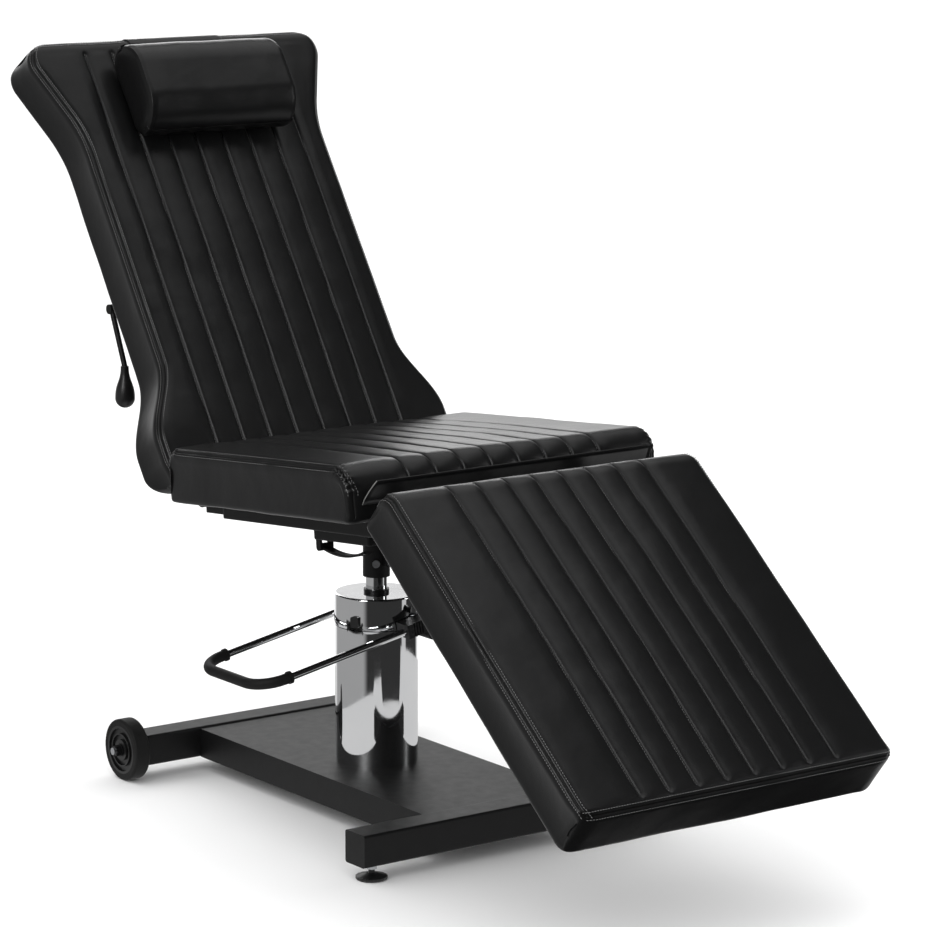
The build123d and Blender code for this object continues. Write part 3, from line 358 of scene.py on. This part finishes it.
CHANNEL_PITCH = 50.7
CHANNELS = [(n - 3.5) * CHANNEL_PITCH for n in range(8)]
CHANNELS_REACH = 203  # distance from the middle, beyond which the top is even
GROOVE_DEPTH, GROOVE_WIDTH = 4.2, 2.0  # the groove that the stitches pull
DIP_DEPTH, DIP_WIDTH = 1.3, 7.0  # the softer dip around it
SWELL = 0.9  # rise of the padding between two channels
GROOVE_CREASE = 1.9  # half width of the crease in a groove


def across_places(inner):
    """Places across the middle of a pad, closer together at each sewn channel."""
    steps = (0.0, 1.2, 2.4, 4.0, 7.0, 13.0, 19.0, CHANNEL_PITCH / 2)
    places = {round(c + d, 3) for c in CHANNELS for d in steps} | {round(c - d, 3) for c in CHANNELS for d in steps}
    return np.array(sorted(p for p in places if abs(p) <= inner))


# Columns round the side edges of a pad: the seam is one of them, with a row of stitches on each side of it
EDGE_TURNS = np.radians([0, 13, 26, 34, 40, 43, 45, 47, 50, 56, 64, 77, 90])
SEAM_COLUMN = 6
STITCH_COLUMNS = (2, 10)
SEAM_STEPS = np.array([-10.0, -6.0, -3.2, -1.5, -0.7, 0.0, 0.7, 1.5, 3.2, 6.0, 10.0])
SEAM_WIDTH = 1.1
STITCH_FROM_CROSS_SEAM = 6.0
CLOSE_STEP, OPEN_STEP = 2.3, 4.6  # between the rows of a pad: at its rounded ends, and along it
CLOSE_BEYOND = 25  # how far past a rounded end its rows stay close
SEWN_FROM, SEWN_OVER = -0.55, 0.4  # how far up a place faces where the side seams begin, and until they are full
SEAM_FADE, CHANNEL_FADE = 5, 10  # lengths over which seams and channels run out
PUCKER_PITCH, PUCKER_DRIFT, PUCKER_REACH = 12.0, 14.0, 7.0
PUCKER_RADIUS = 32  # ends that are rounded tighter than this pucker in full
BAND_FULLNESS, BAND_FULL_AT = 0.8, 0.8  # of the hollow in a side band: its shape, and the share of height it needs
LEAST_SEAM_DEPTH = 0.01


def places_along(length, first, last, seams):
    """Distances along a run of this length: close in its first and last stretch and at each cross seam."""
    first, last = min(first, length * 0.45), min(last, length * 0.45)
    middle = np.linspace(first, length - last, int((length - first - last) / OPEN_STEP) + 2)
    start, end = np.arange(0, first - 1, CLOSE_STEP), np.arange(length - last + CLOSE_STEP, length - 1, CLOSE_STEP)
    clear = SEAM_STEPS[-1] + 1.2
    places = [p for p in (*start, *middle, *end, length) if all(abs(p - s) > clear for s in seams)]
    return np.array(sorted(places + [s + step for s in seams for step in SEAM_STEPS]))


class Pad:
    """The skin of a pad in its section's frame, in millimetres: a ring of places round its thickness, swept
    across its width, with soft edges, side bands, a crown, sewn channels and seams with twin stitching.

    low and high are its ends along the section and floor and top its faces. rolls and low_rolls are the radii of
    its high and low ends, above and below, and edge and low_edge those of its sides. cross names the ends with
    a seam across them. board is the half width, start, end and depth of the recess for the board under it."""

    def __init__(self, low, high, floor, top, rolls, low_rolls, half_width, edge=18.0, low_edge=8.0, inner=190.0,
                 crown=5.0, drawn_in=3.0, channel_run=None, cross=(), pucker=0.6, side_rows=14, seam_depth=1.9,
                 board=None):
        middle, half = (floor + top) / 2, (top - floor) / 2
        length = 2 * half + high - low - (2 - math.pi / 2) * sum(rolls)
        at_roll = {"high": half - rolls[0] * (1 - math.pi / 4), "low": length - half + rolls[1] * (1 - math.pi / 4)}
        seams = [at_roll[end] for end in cross]
        travel = places_along(length, *(half + roll * 0.6 + CLOSE_BEYOND for roll in rolls), seams)
        self.count = count = len(travel) - 1
        upper = rounded_run([(high, middle), (high, top), (low, top), (low, middle)], rolls, travel / length)
        lower = rounded_run([(high, middle), (high, floor), (low, floor), (low, middle)], low_rolls, travel / length)
        ring = np.concatenate([upper, lower[-2:0:-1]])
        rings = len(ring)
        on_top = np.arange(rings) <= count
        travel = np.concatenate([travel, travel[-2:0:-1]])
        along = np.roll(ring, -1, 0) - np.roll(ring, 1, 0)
        spans = np.linalg.norm(along, axis=1)
        along /= spans[:, None]
        out = np.stack([along[:, 1], -along[:, 0]], 1)
        core = np.stack([np.clip(ring[:, 0], low + half, high - half), np.full(rings, middle)], 1)
        inward = (core - ring) / np.linalg.norm(core - ring, axis=1)[:, None]
        up = np.clip(out[:, 1], 0, 1)
        rounding = low_edge + (edge - low_edge) * (0.5 + 0.5 * out[:, 1])
        share = np.clip((ring[:, 0] - low) / (high - low), 0, 1)
        turning = np.linalg.norm(np.roll(out, -1, 0) - np.roll(out, 1, 0), axis=1) / spans
        bend = ease(turning * PUCKER_RADIUS) * on_top
        sewn = ease((out[:, 1] - SEWN_FROM) / SEWN_OVER)
        cross_cut = np.zeros(rings)
        for end in cross:
            beyond = (at_roll[end] - travel) * (1 if end == "high" else -1)
            this_end = ring[:, 0] > (low + high) / 2 if end == "high" else ring[:, 0] < (low + high) / 2
            sewn = np.where(this_end, sewn * (1 - ease(beyond / SEAM_FADE)) * on_top, sewn)
            cross_cut += np.exp(-((beyond / SEAM_WIDTH) ** 2)) * on_top
        run = np.zeros(rings)
        if channel_run:
            start, stop = channel_run(length)
            run = ease((travel - start) / CHANNEL_FADE) * ease((stop - travel) / CHANNEL_FADE) * on_top
        xs = across_places(inner)
        flat = np.zeros(rings)
        if board:
            half_board, board_start, board_end, recess = board
            flat = np.where(~on_top & (ring[:, 0] > board_start) & (ring[:, 0] < board_end), recess, 0.0)

        def surface(x, width, puff):
            """One column's height off the ring, at this distance across."""
            rise = crown * up * (1 - (x / width) ** 2).clip(0) * 4 * share * (1 - share)
            lift = flat * (np.abs(x) < half_board) if board else 0.0
            return puff + rise - cross_cut * seam_depth - lift

        def channelled(x):
            """The height and the crease that the sewn channels give a column."""
            away = min(abs(x - c) for c in CHANNELS)
            puff = math.sin(math.pi * min(away / (CHANNEL_PITCH / 2), 1) / 2) if abs(x) < CHANNELS_REACH else 1.0
            groove, dip = GROOVE_DEPTH * math.exp(-away / GROOVE_WIDTH), DIP_DEPTH * math.exp(-away / DIP_WIDTH)
            return run * (-groove - dip + SWELL * puff), run * math.exp(-((away / GROOVE_CREASE) ** 2))

        def side_columns(side):
            """The columns from the channels out to one side, round its edge."""
            width = half_width(ring[:, 0])
            columns = []
            for t in np.linspace(0, 1, 7)[1:-1]:
                x = inner + (width - rounding - inner) * t
                offset = surface(x, width, run * SWELL * (1 - t))
                columns.append((side * x, ring + out * offset[:, None], cross_cut))
            for number, turn in enumerate(EDGE_TURNS):
                place = ring + inward * (rounding * (1 - math.cos(turn)))[:, None]
                edge_width = half_width(place[:, 0])
                x = edge_width - rounding + rounding * math.sin(turn)
                from_seam = abs(turn - EDGE_TURNS[SEAM_COLUMN]) * edge
                cut = sewn * seam_depth * math.exp(-((from_seam / SEAM_WIDTH) ** 2))
                place = place + inward * (cut * math.cos(turn))[:, None]
                waves = np.sin(travel * 2 * math.pi / PUCKER_PITCH + 0.9 * np.sin(travel / PUCKER_DRIFT))
                ripple = pucker * waves * bend * sewn * math.exp(-((from_seam / PUCKER_REACH) ** 2))
                rise = surface(x, width, 0.0) * math.cos(turn) * (number <= SEAM_COLUMN)
                place = place + out * (rise + ripple)[:, None]
                crease = np.maximum(cut / max(seam_depth, LEAST_SEAM_DEPTH), cross_cut * (number <= SEAM_COLUMN))
                columns.append((side * (x - cut * math.sin(turn)), place, crease))
            return columns

        left, right = side_columns(-1), side_columns(1)
        columns = left[::-1]
        for x in xs:
            puff, crease = channelled(x)
            offset = surface(x, half_width(ring[:, 0]), puff)
            columns.append((np.full(rings, x), ring + out * offset[:, None], np.maximum(crease, cross_cut)))
        columns += right
        self.grid = np.stack([np.column_stack([x, place]) for x, place, crease in columns], 1)
        self.crease = np.stack([crease for x, place, crease in columns], 1)
        self.xs, self.first_inner, self.channel_run = xs, len(left), run
        self.half_width, self.drawn_in, self.side_rows = half_width, drawn_in, side_rows
        across = len(columns)
        edges = len(EDGE_TURNS)
        self.twin_columns = [edges - 1 - c for c in STITCH_COLUMNS] + [across - edges + c for c in STITCH_COLUMNS]
        self.seam_columns = (edges - 1 - SEAM_COLUMN, across - edges + SEAM_COLUMN)
        self.sewn = sewn * on_top
        self.cross_rows = [
            int(np.argmin(abs(travel[:count + 1] - s - step)))
            for s in seams for step in (-STITCH_FROM_CROSS_SEAM, STITCH_FROM_CROSS_SEAM)
        ]
        slope = np.cross(np.gradient(self.grid, axis=1), np.roll(self.grid, -1, 0) - np.roll(self.grid, 1, 0))
        slope /= np.linalg.norm(slope, axis=2)[:, :, None] + 1e-12
        outwards = np.column_stack([np.zeros(rings), out])
        self.normals = slope * np.sign(np.median(np.einsum("ij,ij->i", slope[:, across // 2], outwards)))

    def column_at(self, x):
        """The number of the middle column nearest to this distance across."""
        return self.first_inner + int(np.argmin(abs(self.xs - x)))

    def shell(self):
        """Vertices, faces and crease of the closed skin, with its drawn-in side bands."""
        rings, across = self.grid.shape[:2]
        n, rows = self.count, self.side_rows
        vertices = list(self.grid.reshape(-1, 3))
        crease = list(self.crease.reshape(-1))
        faces = [
            (i * across + c, ((i + 1) % rings) * across + c, ((i + 1) % rings) * across + c + 1, i * across + c + 1)
            for i in range(rings) for c in range(across - 1)
        ]
        height = np.linalg.norm(self.grid[:n + 1, 0] - self.grid[[(rings - j) % rings for j in range(n + 1)], 0],
                                axis=1)
        for column in (0, across - 1):
            side = -1 if column == 0 else 1
            index = {}
            for j in range(n + 1):
                upper, lower = j * across + column, ((rings - j) % rings) * across + column
                for r in range(rows + 1):
                    if r == 0 or j in (0, n):
                        index[j, r] = upper
                    elif r == rows:
                        index[j, r] = lower
                    else:
                        place = vertices[upper] + (vertices[lower] - vertices[upper]) * (r / rows)
                        hollow = self.drawn_in * math.sin(math.pi * r / rows) ** BAND_FULLNESS
                        hollow *= ease(height[j] / height.max() / BAND_FULL_AT)
                        wide = float(self.half_width(np.array([place[1]]))[0])
                        index[j, r] = len(vertices)
                        vertices.append(np.array([side * (wide - hollow), place[1], place[2]]))
                        crease.append(0.0)
            for j in range(n):
                for r in range(rows):
                    corners = (index[j, r], index[j + 1, r], index[j + 1, r + 1], index[j, r + 1])
                    corners = tuple(dict.fromkeys(corners))
                    if len(corners) > 2:
                        faces.append(corners)
        return vertices, faces, crease

    def line(self, column, weights, lift=0.25, least=0.5):
        """Places along one column wherever the weight is over the least, lifted off the skin."""
        picked = weights > least
        return (self.grid[:, column] + self.normals[:, column] * lift)[picked]

    def cross_line(self, row, lift=0.25):
        """Places across the pad along one row, from seam to seam."""
        first, last = self.seam_columns
        return (self.grid[row] + self.normals[row] * lift)[first:last + 1]


def corner_width(half, radius, low, high):
    """The half width of a pad along it, where its four corners are rounded in plan."""
    def at(y):
        into = np.clip(radius - np.minimum(y - low, high - y), 0, radius)
        return half - radius + np.sqrt(np.maximum(radius ** 2 - into ** 2, 0))
    return at


# The back's outline: half widths, places along it, radii and turns
HIP, WAIST, HEAD = 276.0, 229.0, 297.0
HIP_FOOT, HIP_END, WAIST_START, HEAD_END = -12.0, 62.0, 198.0, 776.0
HIP_CORNER, FLARE, HEAD_CORNER = 45.0, 200.0, 38.0
FLARE_TURN, CORNER_TURN = math.radians(22.0), math.radians(56.0)


def back_width(y):
    """The back's half width: hip, waist, flare and rounded head."""
    y = np.asarray(y, float)
    wide = HIP - (HIP - WAIST) * ease((y - HIP_END) / (WAIST_START - HIP_END))
    arc = FLARE * math.sin(FLARE_TURN)
    straight = (HEAD - WAIST - FLARE * (1 - math.cos(FLARE_TURN))) / math.tan(FLARE_TURN)
    flare_start = HEAD_END - arc - straight
    wide += FLARE - np.sqrt(FLARE ** 2 - np.clip(y - flare_start, 0, arc) ** 2)
    wide += np.clip(y - flare_start - arc, 0, None) * math.tan(FLARE_TURN)
    middle = HEAD - HEAD_CORNER * math.tan(CORNER_TURN)
    turn_from = HEAD_END - HEAD_CORNER
    meets = turn_from - HEAD_CORNER * math.sin(FLARE_TURN)
    rounded = middle + np.sqrt(np.clip(HEAD_CORNER ** 2 - np.clip(abs(y - turn_from), 0, HEAD_CORNER) ** 2, 0, None))
    wide = np.where(y > turn_from, rounded, np.where(y > meets, np.minimum(wide, rounded), wide))
    into = np.clip(HIP_FOOT + HIP_CORNER - y, 0, HIP_CORNER)
    return wide - HIP_CORNER + np.sqrt(HIP_CORNER ** 2 - into ** 2)


def padded_piece(name, pad, section, body, node, wander=((0.11, 0.0014), (0.045, 0.0005))):
    """The skin of a pad as a named piece that stands for a CAD cushion, with its slight unevenness."""
    vertices, faces, crease = pad.shell()
    piece = piece_from(name, placed(section, np.array(vertices)), faces, VINYL)
    # Crease depth of each place, which the vinyl shows as painted shade and added roughness
    depth = piece.data.attributes.new("crease", "FLOAT", "POINT")
    depth.data.foreach_set("value", np.clip(crease, 0, 1).astype(np.float32))
    soft_wander(piece.data, wander)
    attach(piece, body)
    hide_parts(node)


# Sewing

def stitch_rows():
    """The node tree that lays stitches end to end along a seam, and its named inputs."""
    tree = bpy.data.node_groups.new("stitch_rows", "GeometryNodeTree")
    named = {}
    for label, kind in (
        ("Seam", "NodeSocketGeometry"), ("Pitch", "NodeSocketFloat"), ("Stitch Length", "NodeSocketFloat"),
        ("Thread", "NodeSocketFloat"), ("Finish", "NodeSocketMaterial"),
    ):
        named[label] = tree.interface.new_socket(label, in_out="INPUT", socket_type=kind)
    tree.interface.new_socket("Stitches", in_out="OUTPUT", socket_type="NodeSocketGeometry")
    given = tree.nodes.new("NodeGroupInput").outputs
    made = tree.nodes.new("NodeGroupOutput").inputs
    rows = Wiring(tree)
    seam, pitch, stitch_length, thread, finish = (Amount(rows, given[label]) for label in named)
    curve = rows.add("GeometryNodeMeshToCurve", None, {"Mesh": seam})
    even = rows.add("GeometryNodeResampleCurve", {"mode": "LENGTH"}, {"Curve": curve, "Length": pitch})
    ball = rows.add("GeometryNodeMeshUVSphere", None, {"Segments": 6, "Rings": 4, "Radius": 0.5})
    size = rows.add("ShaderNodeCombineXYZ", None, {"X": thread, "Y": thread, "Z": stitch_length})
    stitch = rows.add("GeometryNodeTransform", None, {"Geometry": ball, "Scale": size})
    tangent = rows.add("GeometryNodeInputTangent")
    turned = rows.add("FunctionNodeAlignRotationToVector", {"axis": "Z"}, {"Vector": tangent})
    laid = rows.add("GeometryNodeInstanceOnPoints", None, {"Points": even, "Instance": stitch, "Rotation": turned})
    real = rows.add("GeometryNodeRealizeInstances", None, {"Geometry": laid})
    smooth = rows.add("GeometryNodeSetShadeSmooth", None, {"Geometry": real})
    finished = rows.add("GeometryNodeSetMaterial", None, {"Geometry": smooth, "Material": finish})
    tree.links.new(finished.socket, made["Stitches"])
    return tree, named


STITCHES, STITCH_INPUTS = stitch_rows()


def sew(name, lines, body, pitch=4.6, length=3.7, thread=1.1):
    """Stitches along each line of places, as one plain mesh riding on a body."""
    vertices, edges = [], []
    for line in lines:
        first = len(vertices)
        vertices += [tuple(p) for p in line]
        edges += [(first + k, first + k + 1) for k in range(len(line) - 1)]
    guide_mesh = bpy.data.meshes.new(name + "_guide")
    guide_mesh.from_pydata(vertices, edges, [])
    guide = bpy.data.objects.new(name + "_guide", guide_mesh)
    bpy.context.scene.collection.objects.link(guide)
    rows = guide.modifiers.new("rows", "NODES")
    rows.node_group = STITCHES
    for label, value in (("Pitch", pitch * MM), ("Stitch Length", length * MM), ("Thread", thread * MM),
                         ("Finish", THREAD)):
        rows[STITCH_INPUTS[label].identifier] = value
    bpy.context.view_layer.update()
    evaluated = guide.evaluated_get(bpy.context.evaluated_depsgraph_get())
    mesh = bpy.data.meshes.new_from_object(evaluated)
    bpy.data.objects.remove(guide)
    piece = bpy.data.objects.new(name, mesh)
    bpy.context.scene.collection.objects.link(piece)
    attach(piece, body)


# Upholstery

seat_pad = Pad(
    low=20, high=522, floor=24, top=109, rolls=(24.0, 42.0), low_rolls=(8.0, 8.0),
    half_width=corner_width(288.0, 16.0, 20, 522), channel_run=lambda end: (34.0, end - 9.0), pucker=1.8,
    board=(251.0, 70.0, 470.0, 3.0),
)
leg_pad = Pad(
    low=-594, high=18, floor=24, top=109, rolls=(38.0, 15.0), low_rolls=(10.0, 8.0),
    half_width=corner_width(286.0, 22.0, -594, 18), channel_run=lambda end: (34.0, end - 49.0), cross=("low",),
    board=(251.0, -544.0, -44.0, 3.0),
)
BACK_SHAPE = {
    "low": HIP_FOOT, "high": HEAD_END, "floor": 4, "top": 92, "rolls": (22.0, 35.0), "low_rolls": (20.0, 45.0),
    "half_width": back_width,
}
back_pad = Pad(
    **BACK_SHAPE, channel_run=lambda end: (58.0, end - 20.0), cross=("high",), board=(193.5, 95.0, 656.0, 6.5),
)

padded_piece("seat_upholstery", seat_pad, SEAT, "seat", "seat_cushion")
padded_piece("leg_upholstery", leg_pad, LEG, "leg_rest", "leg_cushion")
padded_piece("back_upholstery", back_pad, BACK, "backrest", "back_cushion")

for label, pad, section, body in (
    ("seat", seat_pad, SEAT, "seat"), ("leg", leg_pad, LEG, "leg_rest"), ("back", back_pad, BACK, "backrest"),
):
    channels = [pad.line(pad.column_at(c), pad.channel_run) for c in CHANNELS]
    twins = [pad.line(column, pad.sewn) for column in pad.twin_columns] + [pad.cross_line(r) for r in pad.cross_rows]
    sew(label + "_channel_stitching", [placed(section, line) for line in channels], body)
    sew(label + "_edge_stitching", [placed(section, line) for line in twins], body)

pillow_pad = Pad(
    low=577, high=735, floor=98.3, top=178.3, rolls=(54.0, 54.0), low_rolls=(30.0, 30.0),
    half_width=lambda y: np.full(np.shape(y), 140.0), edge=10.0, low_edge=9.0, inner=118.0, crown=0.0,
    drawn_in=-2.5, side_rows=10, pucker=0.25, seam_depth=-0.9,
)
padded_piece("head_pillow_upholstery", pillow_pad, BACK, "backrest", "head_pillow",
             ((0.09, 0.0012), (0.035, 0.0004)))

# The back without its channels, for the strap to lie on
plain_back = Pad(**BACK_SHAPE)


def slab_faces(rows, wide):
    """The faces of a thin slab whose two skins are grids of rows by wide places, one listed after the other."""
    top = rows * wide
    faces = []
    for i in range(rows - 1):
        for c in range(wide - 1):
            a, b, d, e = i * wide + c, (i + 1) * wide + c, (i + 1) * wide + c + 1, i * wide + c + 1
            faces += [(a, b, d, e), (top + a, top + e, top + d, top + b)]
        for c in (0, wide - 1):
            a, b = i * wide + c, (i + 1) * wide + c
            faces.append((a, b, top + b, top + a))
    for i in (0, rows - 1):
        for c in range(wide - 1):
            a, b = i * wide + c, i * wide + c + 1
            faces.append((a, b, top + b, top + a))
    return faces


STRAP_LIFT = 0.3  # between the back's skin and the strap that lies on it


def band(name, surface, start, stop, half, thickness, section, body, node):
    """A flat band laid on the back's skin, from one place on its ring to another."""
    rows_used = [i % surface.grid.shape[0] for i in range(start, stop + 1)]
    columns = [surface.column_at(x) for x in surface.xs if abs(x) <= half]
    skin = surface.grid[np.ix_(rows_used, columns)]
    around = np.gradient(skin, axis=0)
    across = np.gradient(skin, axis=1)
    normal = np.cross(across, around)
    normal /= np.linalg.norm(normal, axis=2)[:, :, None]
    if normal[len(rows_used) // 2].mean(axis=0)[1] < 0:
        normal = -normal
    rows, wide = len(rows_used), len(columns)
    inner, outer = skin + normal * STRAP_LIFT, skin + normal * (STRAP_LIFT + thickness)
    vertices = np.concatenate([inner.reshape(-1, 3), outer.reshape(-1, 3)])
    piece = piece_from(name, placed(section, vertices), slab_faces(rows, wide), VINYL)
    soften = piece.modifiers.new("soft_edge", "BEVEL")
    soften.width = 0.0006
    soften.segments = 2
    soften.limit_method = "ANGLE"
    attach(piece, body)
    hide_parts(node)


# Places along the back where the strap's front end hides behind the pillow, and where its rear tail stops
STRAP_FRONT, STRAP_TAIL = 722, 646
STRAP_HALF, STRAP_THICKNESS = 95.0, 2.0

ring_size = plain_back.grid.shape[0]
middle_line = plain_back.grid[:, plain_back.column_at(0), 1]
head_start = int(np.argmin(abs(middle_line[:plain_back.count] - STRAP_FRONT)))
tail_end = ring_size - 1 - int(np.argmin(abs(middle_line[::-1][:plain_back.count] - STRAP_TAIL)))
band("pillow_strap_band", plain_back, tail_end - ring_size, head_start, STRAP_HALF, STRAP_THICKNESS, BACK,
     "backrest", "pillow_strap")

# The gap flap in the seat's frame: its middle line from its sewn root to its free edge, as y and z
FLAP_SPINE = ((18.4, 51.0), (16.6, 58.0), (12.5, 65.0), (7.0, 72.5), (0.5, 80.0), (-5.5, 86.5))
FLAP_HALF, FLAP_COLUMNS, FLAP_SKIN = 255, 61, 1.0
FLAP_ROOT_WIDER = 0.045  # share by which the root is wider than the free edge


def flap():
    """The thin flap over the gap between the seat and the leg rest."""
    spine = np.array(FLAP_SPINE)
    xs = np.linspace(-FLAP_HALF, FLAP_HALF, FLAP_COLUMNS)
    along = np.gradient(spine, axis=0)
    along /= np.linalg.norm(along, axis=1)[:, None]
    out = np.stack([along[:, 1], -along[:, 0]], 1)
    layers = []
    for shift in (-FLAP_SKIN, FLAP_SKIN):
        line = spine + out * shift
        wider = [1 + FLAP_ROOT_WIDER - FLAP_ROOT_WIDER * k / (len(line) - 1) for k in range(len(line))]
        layers.append(np.array([[(x * share, y, z) for x in xs] for share, (y, z) in zip(wider, line)]))
    rows, wide = layers[0].shape[:2]
    vertices = np.concatenate([layer.reshape(-1, 3) for layer in layers])
    piece = piece_from("gap_flap_sheet", placed(SEAT, vertices), slab_faces(rows, wide), VINYL)
    # The flap's two cut ends take the pale edge colour, a painted highlight
    piece.data.materials.append(CUT_EDGE_HIGHLIGHT)
    skin_faces = 2 * (wide - 1)
    for i in range(rows - 1):
        for end in (0, 1):
            piece.data.polygons[i * (skin_faces + 2) + skin_faces + end].material_index = 1
    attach(piece, "seat")
    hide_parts("gap_flap")
    placed(SEAT, (0, 19.2, 70.0))
    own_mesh(piece)


flap()


# Finishes of the steel, plastic and rubber

for material, names in NODES_BY_FINISH:
    for name in names:
        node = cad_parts[name]
        node.data.materials.clear()
        node.data.materials.append(material)


# Studio

FLOOR_REACH = 60.0
# The paper that polished parts mirror, a glowing stand-in for the lit floor: its reach from the pump, and the
# stretches, in degrees, where it is less; the stretch under the leg rest is cut back as painted shadow
PAPER_REACH, PAPER_DEPTH = 1.06, -0.004
PAPER_CUTS = ((90, 223, 0.78), (223, 246, 0.86), (246, 306, 0.66))
# Soft boxes: name, place, what they face, size, watts and whether they light the floor
SOFT_BOXES = (
    ("left_box", (-3.4, -1.2, 2.6), (0, 0, 0.6), (1.2, 2.0), 62.0, False),
    ("top_box", (0.2, 0.6, 3.6), (0, 0, 0.5), (4.5, 4.5), 50.0, True),
    ("right_box", (3.4, -2.2, 1.6), (0, 0, 0.5), (0.5, 2.4), 14.0, False),
    ("rear_box", (1.6, 3.8, 2.0), (0, 0, 0.6), (3.2, 1.2), 28.0, False),
)
CAMERA_PLACE = (-3.3519, -4.6724, 1.6523)
CAMERA_BACK = (-0.58127, -0.79217, 0.18601)
CAMERA_LENS, CAMERA_ROLL = 148.02, math.radians(0.21)


def staged_mesh(name, vertices, faces, material):
    """A plain mesh that belongs to the studio and not to the chair."""
    mesh = bpy.data.meshes.new(name)
    mesh.from_pydata(vertices, [], faces)
    mesh.materials.append(material)
    thing = bpy.data.objects.new(name, mesh)
    bpy.context.scene.collection.objects.link(thing)
    return thing


def floor():
    """A wide pale floor, which polished parts don't mirror."""
    pale = Finish("studio_paper", Roughness=0.9, Specular_IOR_Level=0.1)
    pale.shader.inputs["Base Color"].default_value = (0.93, 0.93, 0.93, 1)
    r = FLOOR_REACH
    corners = [(-r, -r, 0), (r, -r, 0), (r, r, 0), (-r, r, 0)]
    paper = staged_mesh("studio_floor", corners, [(0, 1, 2, 3)], pale.material)
    paper.visible_glossy = False


def mirrored_paper():
    """A glowing disc just under the floor that only polished and glossy parts see, as a painted reflection of the lit
    floor.
    """
    glow = Finish("lit_paper", Emission_Strength=0.60, Roughness=1.0)
    glow.shader.inputs["Base Color"].default_value = (0, 0, 0, 1)
    glow.shader.inputs["Emission Color"].default_value = (1, 1, 1, 1)
    rim = []
    for degrees in range(0, 360, 4):
        turn = math.radians(degrees)
        reach = PAPER_REACH
        for start, stop, cut_reach in PAPER_CUTS:
            if start < degrees <= stop:
                reach = cut_reach
        rim.append((reach * math.cos(turn), reach * math.sin(turn), PAPER_DEPTH))
    faces = [(0, k + 1, (k + 1) % len(rim) + 1) for k in range(len(rim))]
    paper = staged_mesh("paper_seen_in_gloss", [(0, 0, PAPER_DEPTH), *rim], faces, glow.material)
    for ray in ("camera", "diffuse", "transmission", "volume_scatter", "shadow"):
        setattr(paper, "visible_" + ray, False)


def surroundings():
    """An even pale world, whose mirror image in glossy parts is darker and brighter by direction."""
    world = bpy.data.worlds.new("studio")
    bpy.context.scene.world = world
    world.use_nodes = True
    tree = world.node_tree
    sky = Wiring(tree)
    glossy = sky.add("ShaderNodeLightPath", output="Is Glossy Ray")
    way = sky.add("ShaderNodeTexCoord", output="Generated")

    def toward(direction, start, full):
        """From 0 to 1 as the way seen turns towards a direction."""
        facing = sky.add("ShaderNodeVectorMath", {"operation": "DOT_PRODUCT"}, {0: way, 1: direction}, output="Value")
        return sky.add("ShaderNodeMapRange", {"interpolation_type": "SMOOTHSTEP"},
                       {"Value": facing, "From Min": start, "From Max": full})

    low_sky = toward((0, 0, -1), -0.42, -0.12)
    behind = toward((0.5916, 0.8062, 0), 0.70, 0.92) * low_sky
    leftward = toward((-0.8062, 0.5916, 0), 0.35, 0.6) * low_sky
    stripe = toward((0.72, -0.68, -0.15), 0.988, 0.994) * low_sky
    overhead = toward((-0.1, 0.35, 0.93), 0.80, 0.95)
    seen_in_gloss = behind * 0.95 + leftward * 0.30 + stripe * 0.5 + overhead * 0.10 + 0.03
    strength = (1.0 - glossy) * 1.30 + glossy * seen_in_gloss
    around = tree.nodes["Background"]
    around.inputs["Color"].default_value = (1, 1, 1, 1)
    tree.links.new(strength.socket, around.inputs["Strength"])


def soft_boxes():
    """The lights, seen mostly as reflections."""
    for name, place, aim, size, power, lights_floor in SOFT_BOXES:
        light = bpy.data.lights.new(name, "AREA")
        light.shape = "RECTANGLE"
        light.size, light.size_y = size
        light.energy = power
        lamp = bpy.data.objects.new(name, light)
        lamp.location = place
        lamp.visible_diffuse = lights_floor
        lamp.rotation_mode = "QUATERNION"
        lamp.rotation_quaternion = (Vector(aim) - Vector(place)).to_track_quat("-Z", "Y")
        bpy.context.scene.collection.objects.link(lamp)


def viewpoint():
    """The camera, where the photograph was taken from."""
    data = bpy.data.cameras.new("camera")
    data.sensor_width = 36.0
    data.lens = CAMERA_LENS
    data.clip_end = 200.0
    camera = bpy.data.objects.new("camera", data)
    bpy.context.scene.collection.objects.link(camera)
    back = Vector(CAMERA_BACK).normalized()
    right = Vector((0, 0, 1)).cross(back).normalized()
    up = back.cross(right)
    along, over = math.cos(CAMERA_ROLL), math.sin(CAMERA_ROLL)
    right, up = right * along + up * over, up * along - right * over
    turn = Matrix((right, up, back)).transposed().to_4x4()
    camera.matrix_world = Matrix.Translation(CAMERA_PLACE) @ turn
    bpy.context.scene.camera = camera
    bpy.context.scene.view_settings.view_transform = "Standard"


floor()
mirrored_paper()
surroundings()
soft_boxes()
viewpoint()
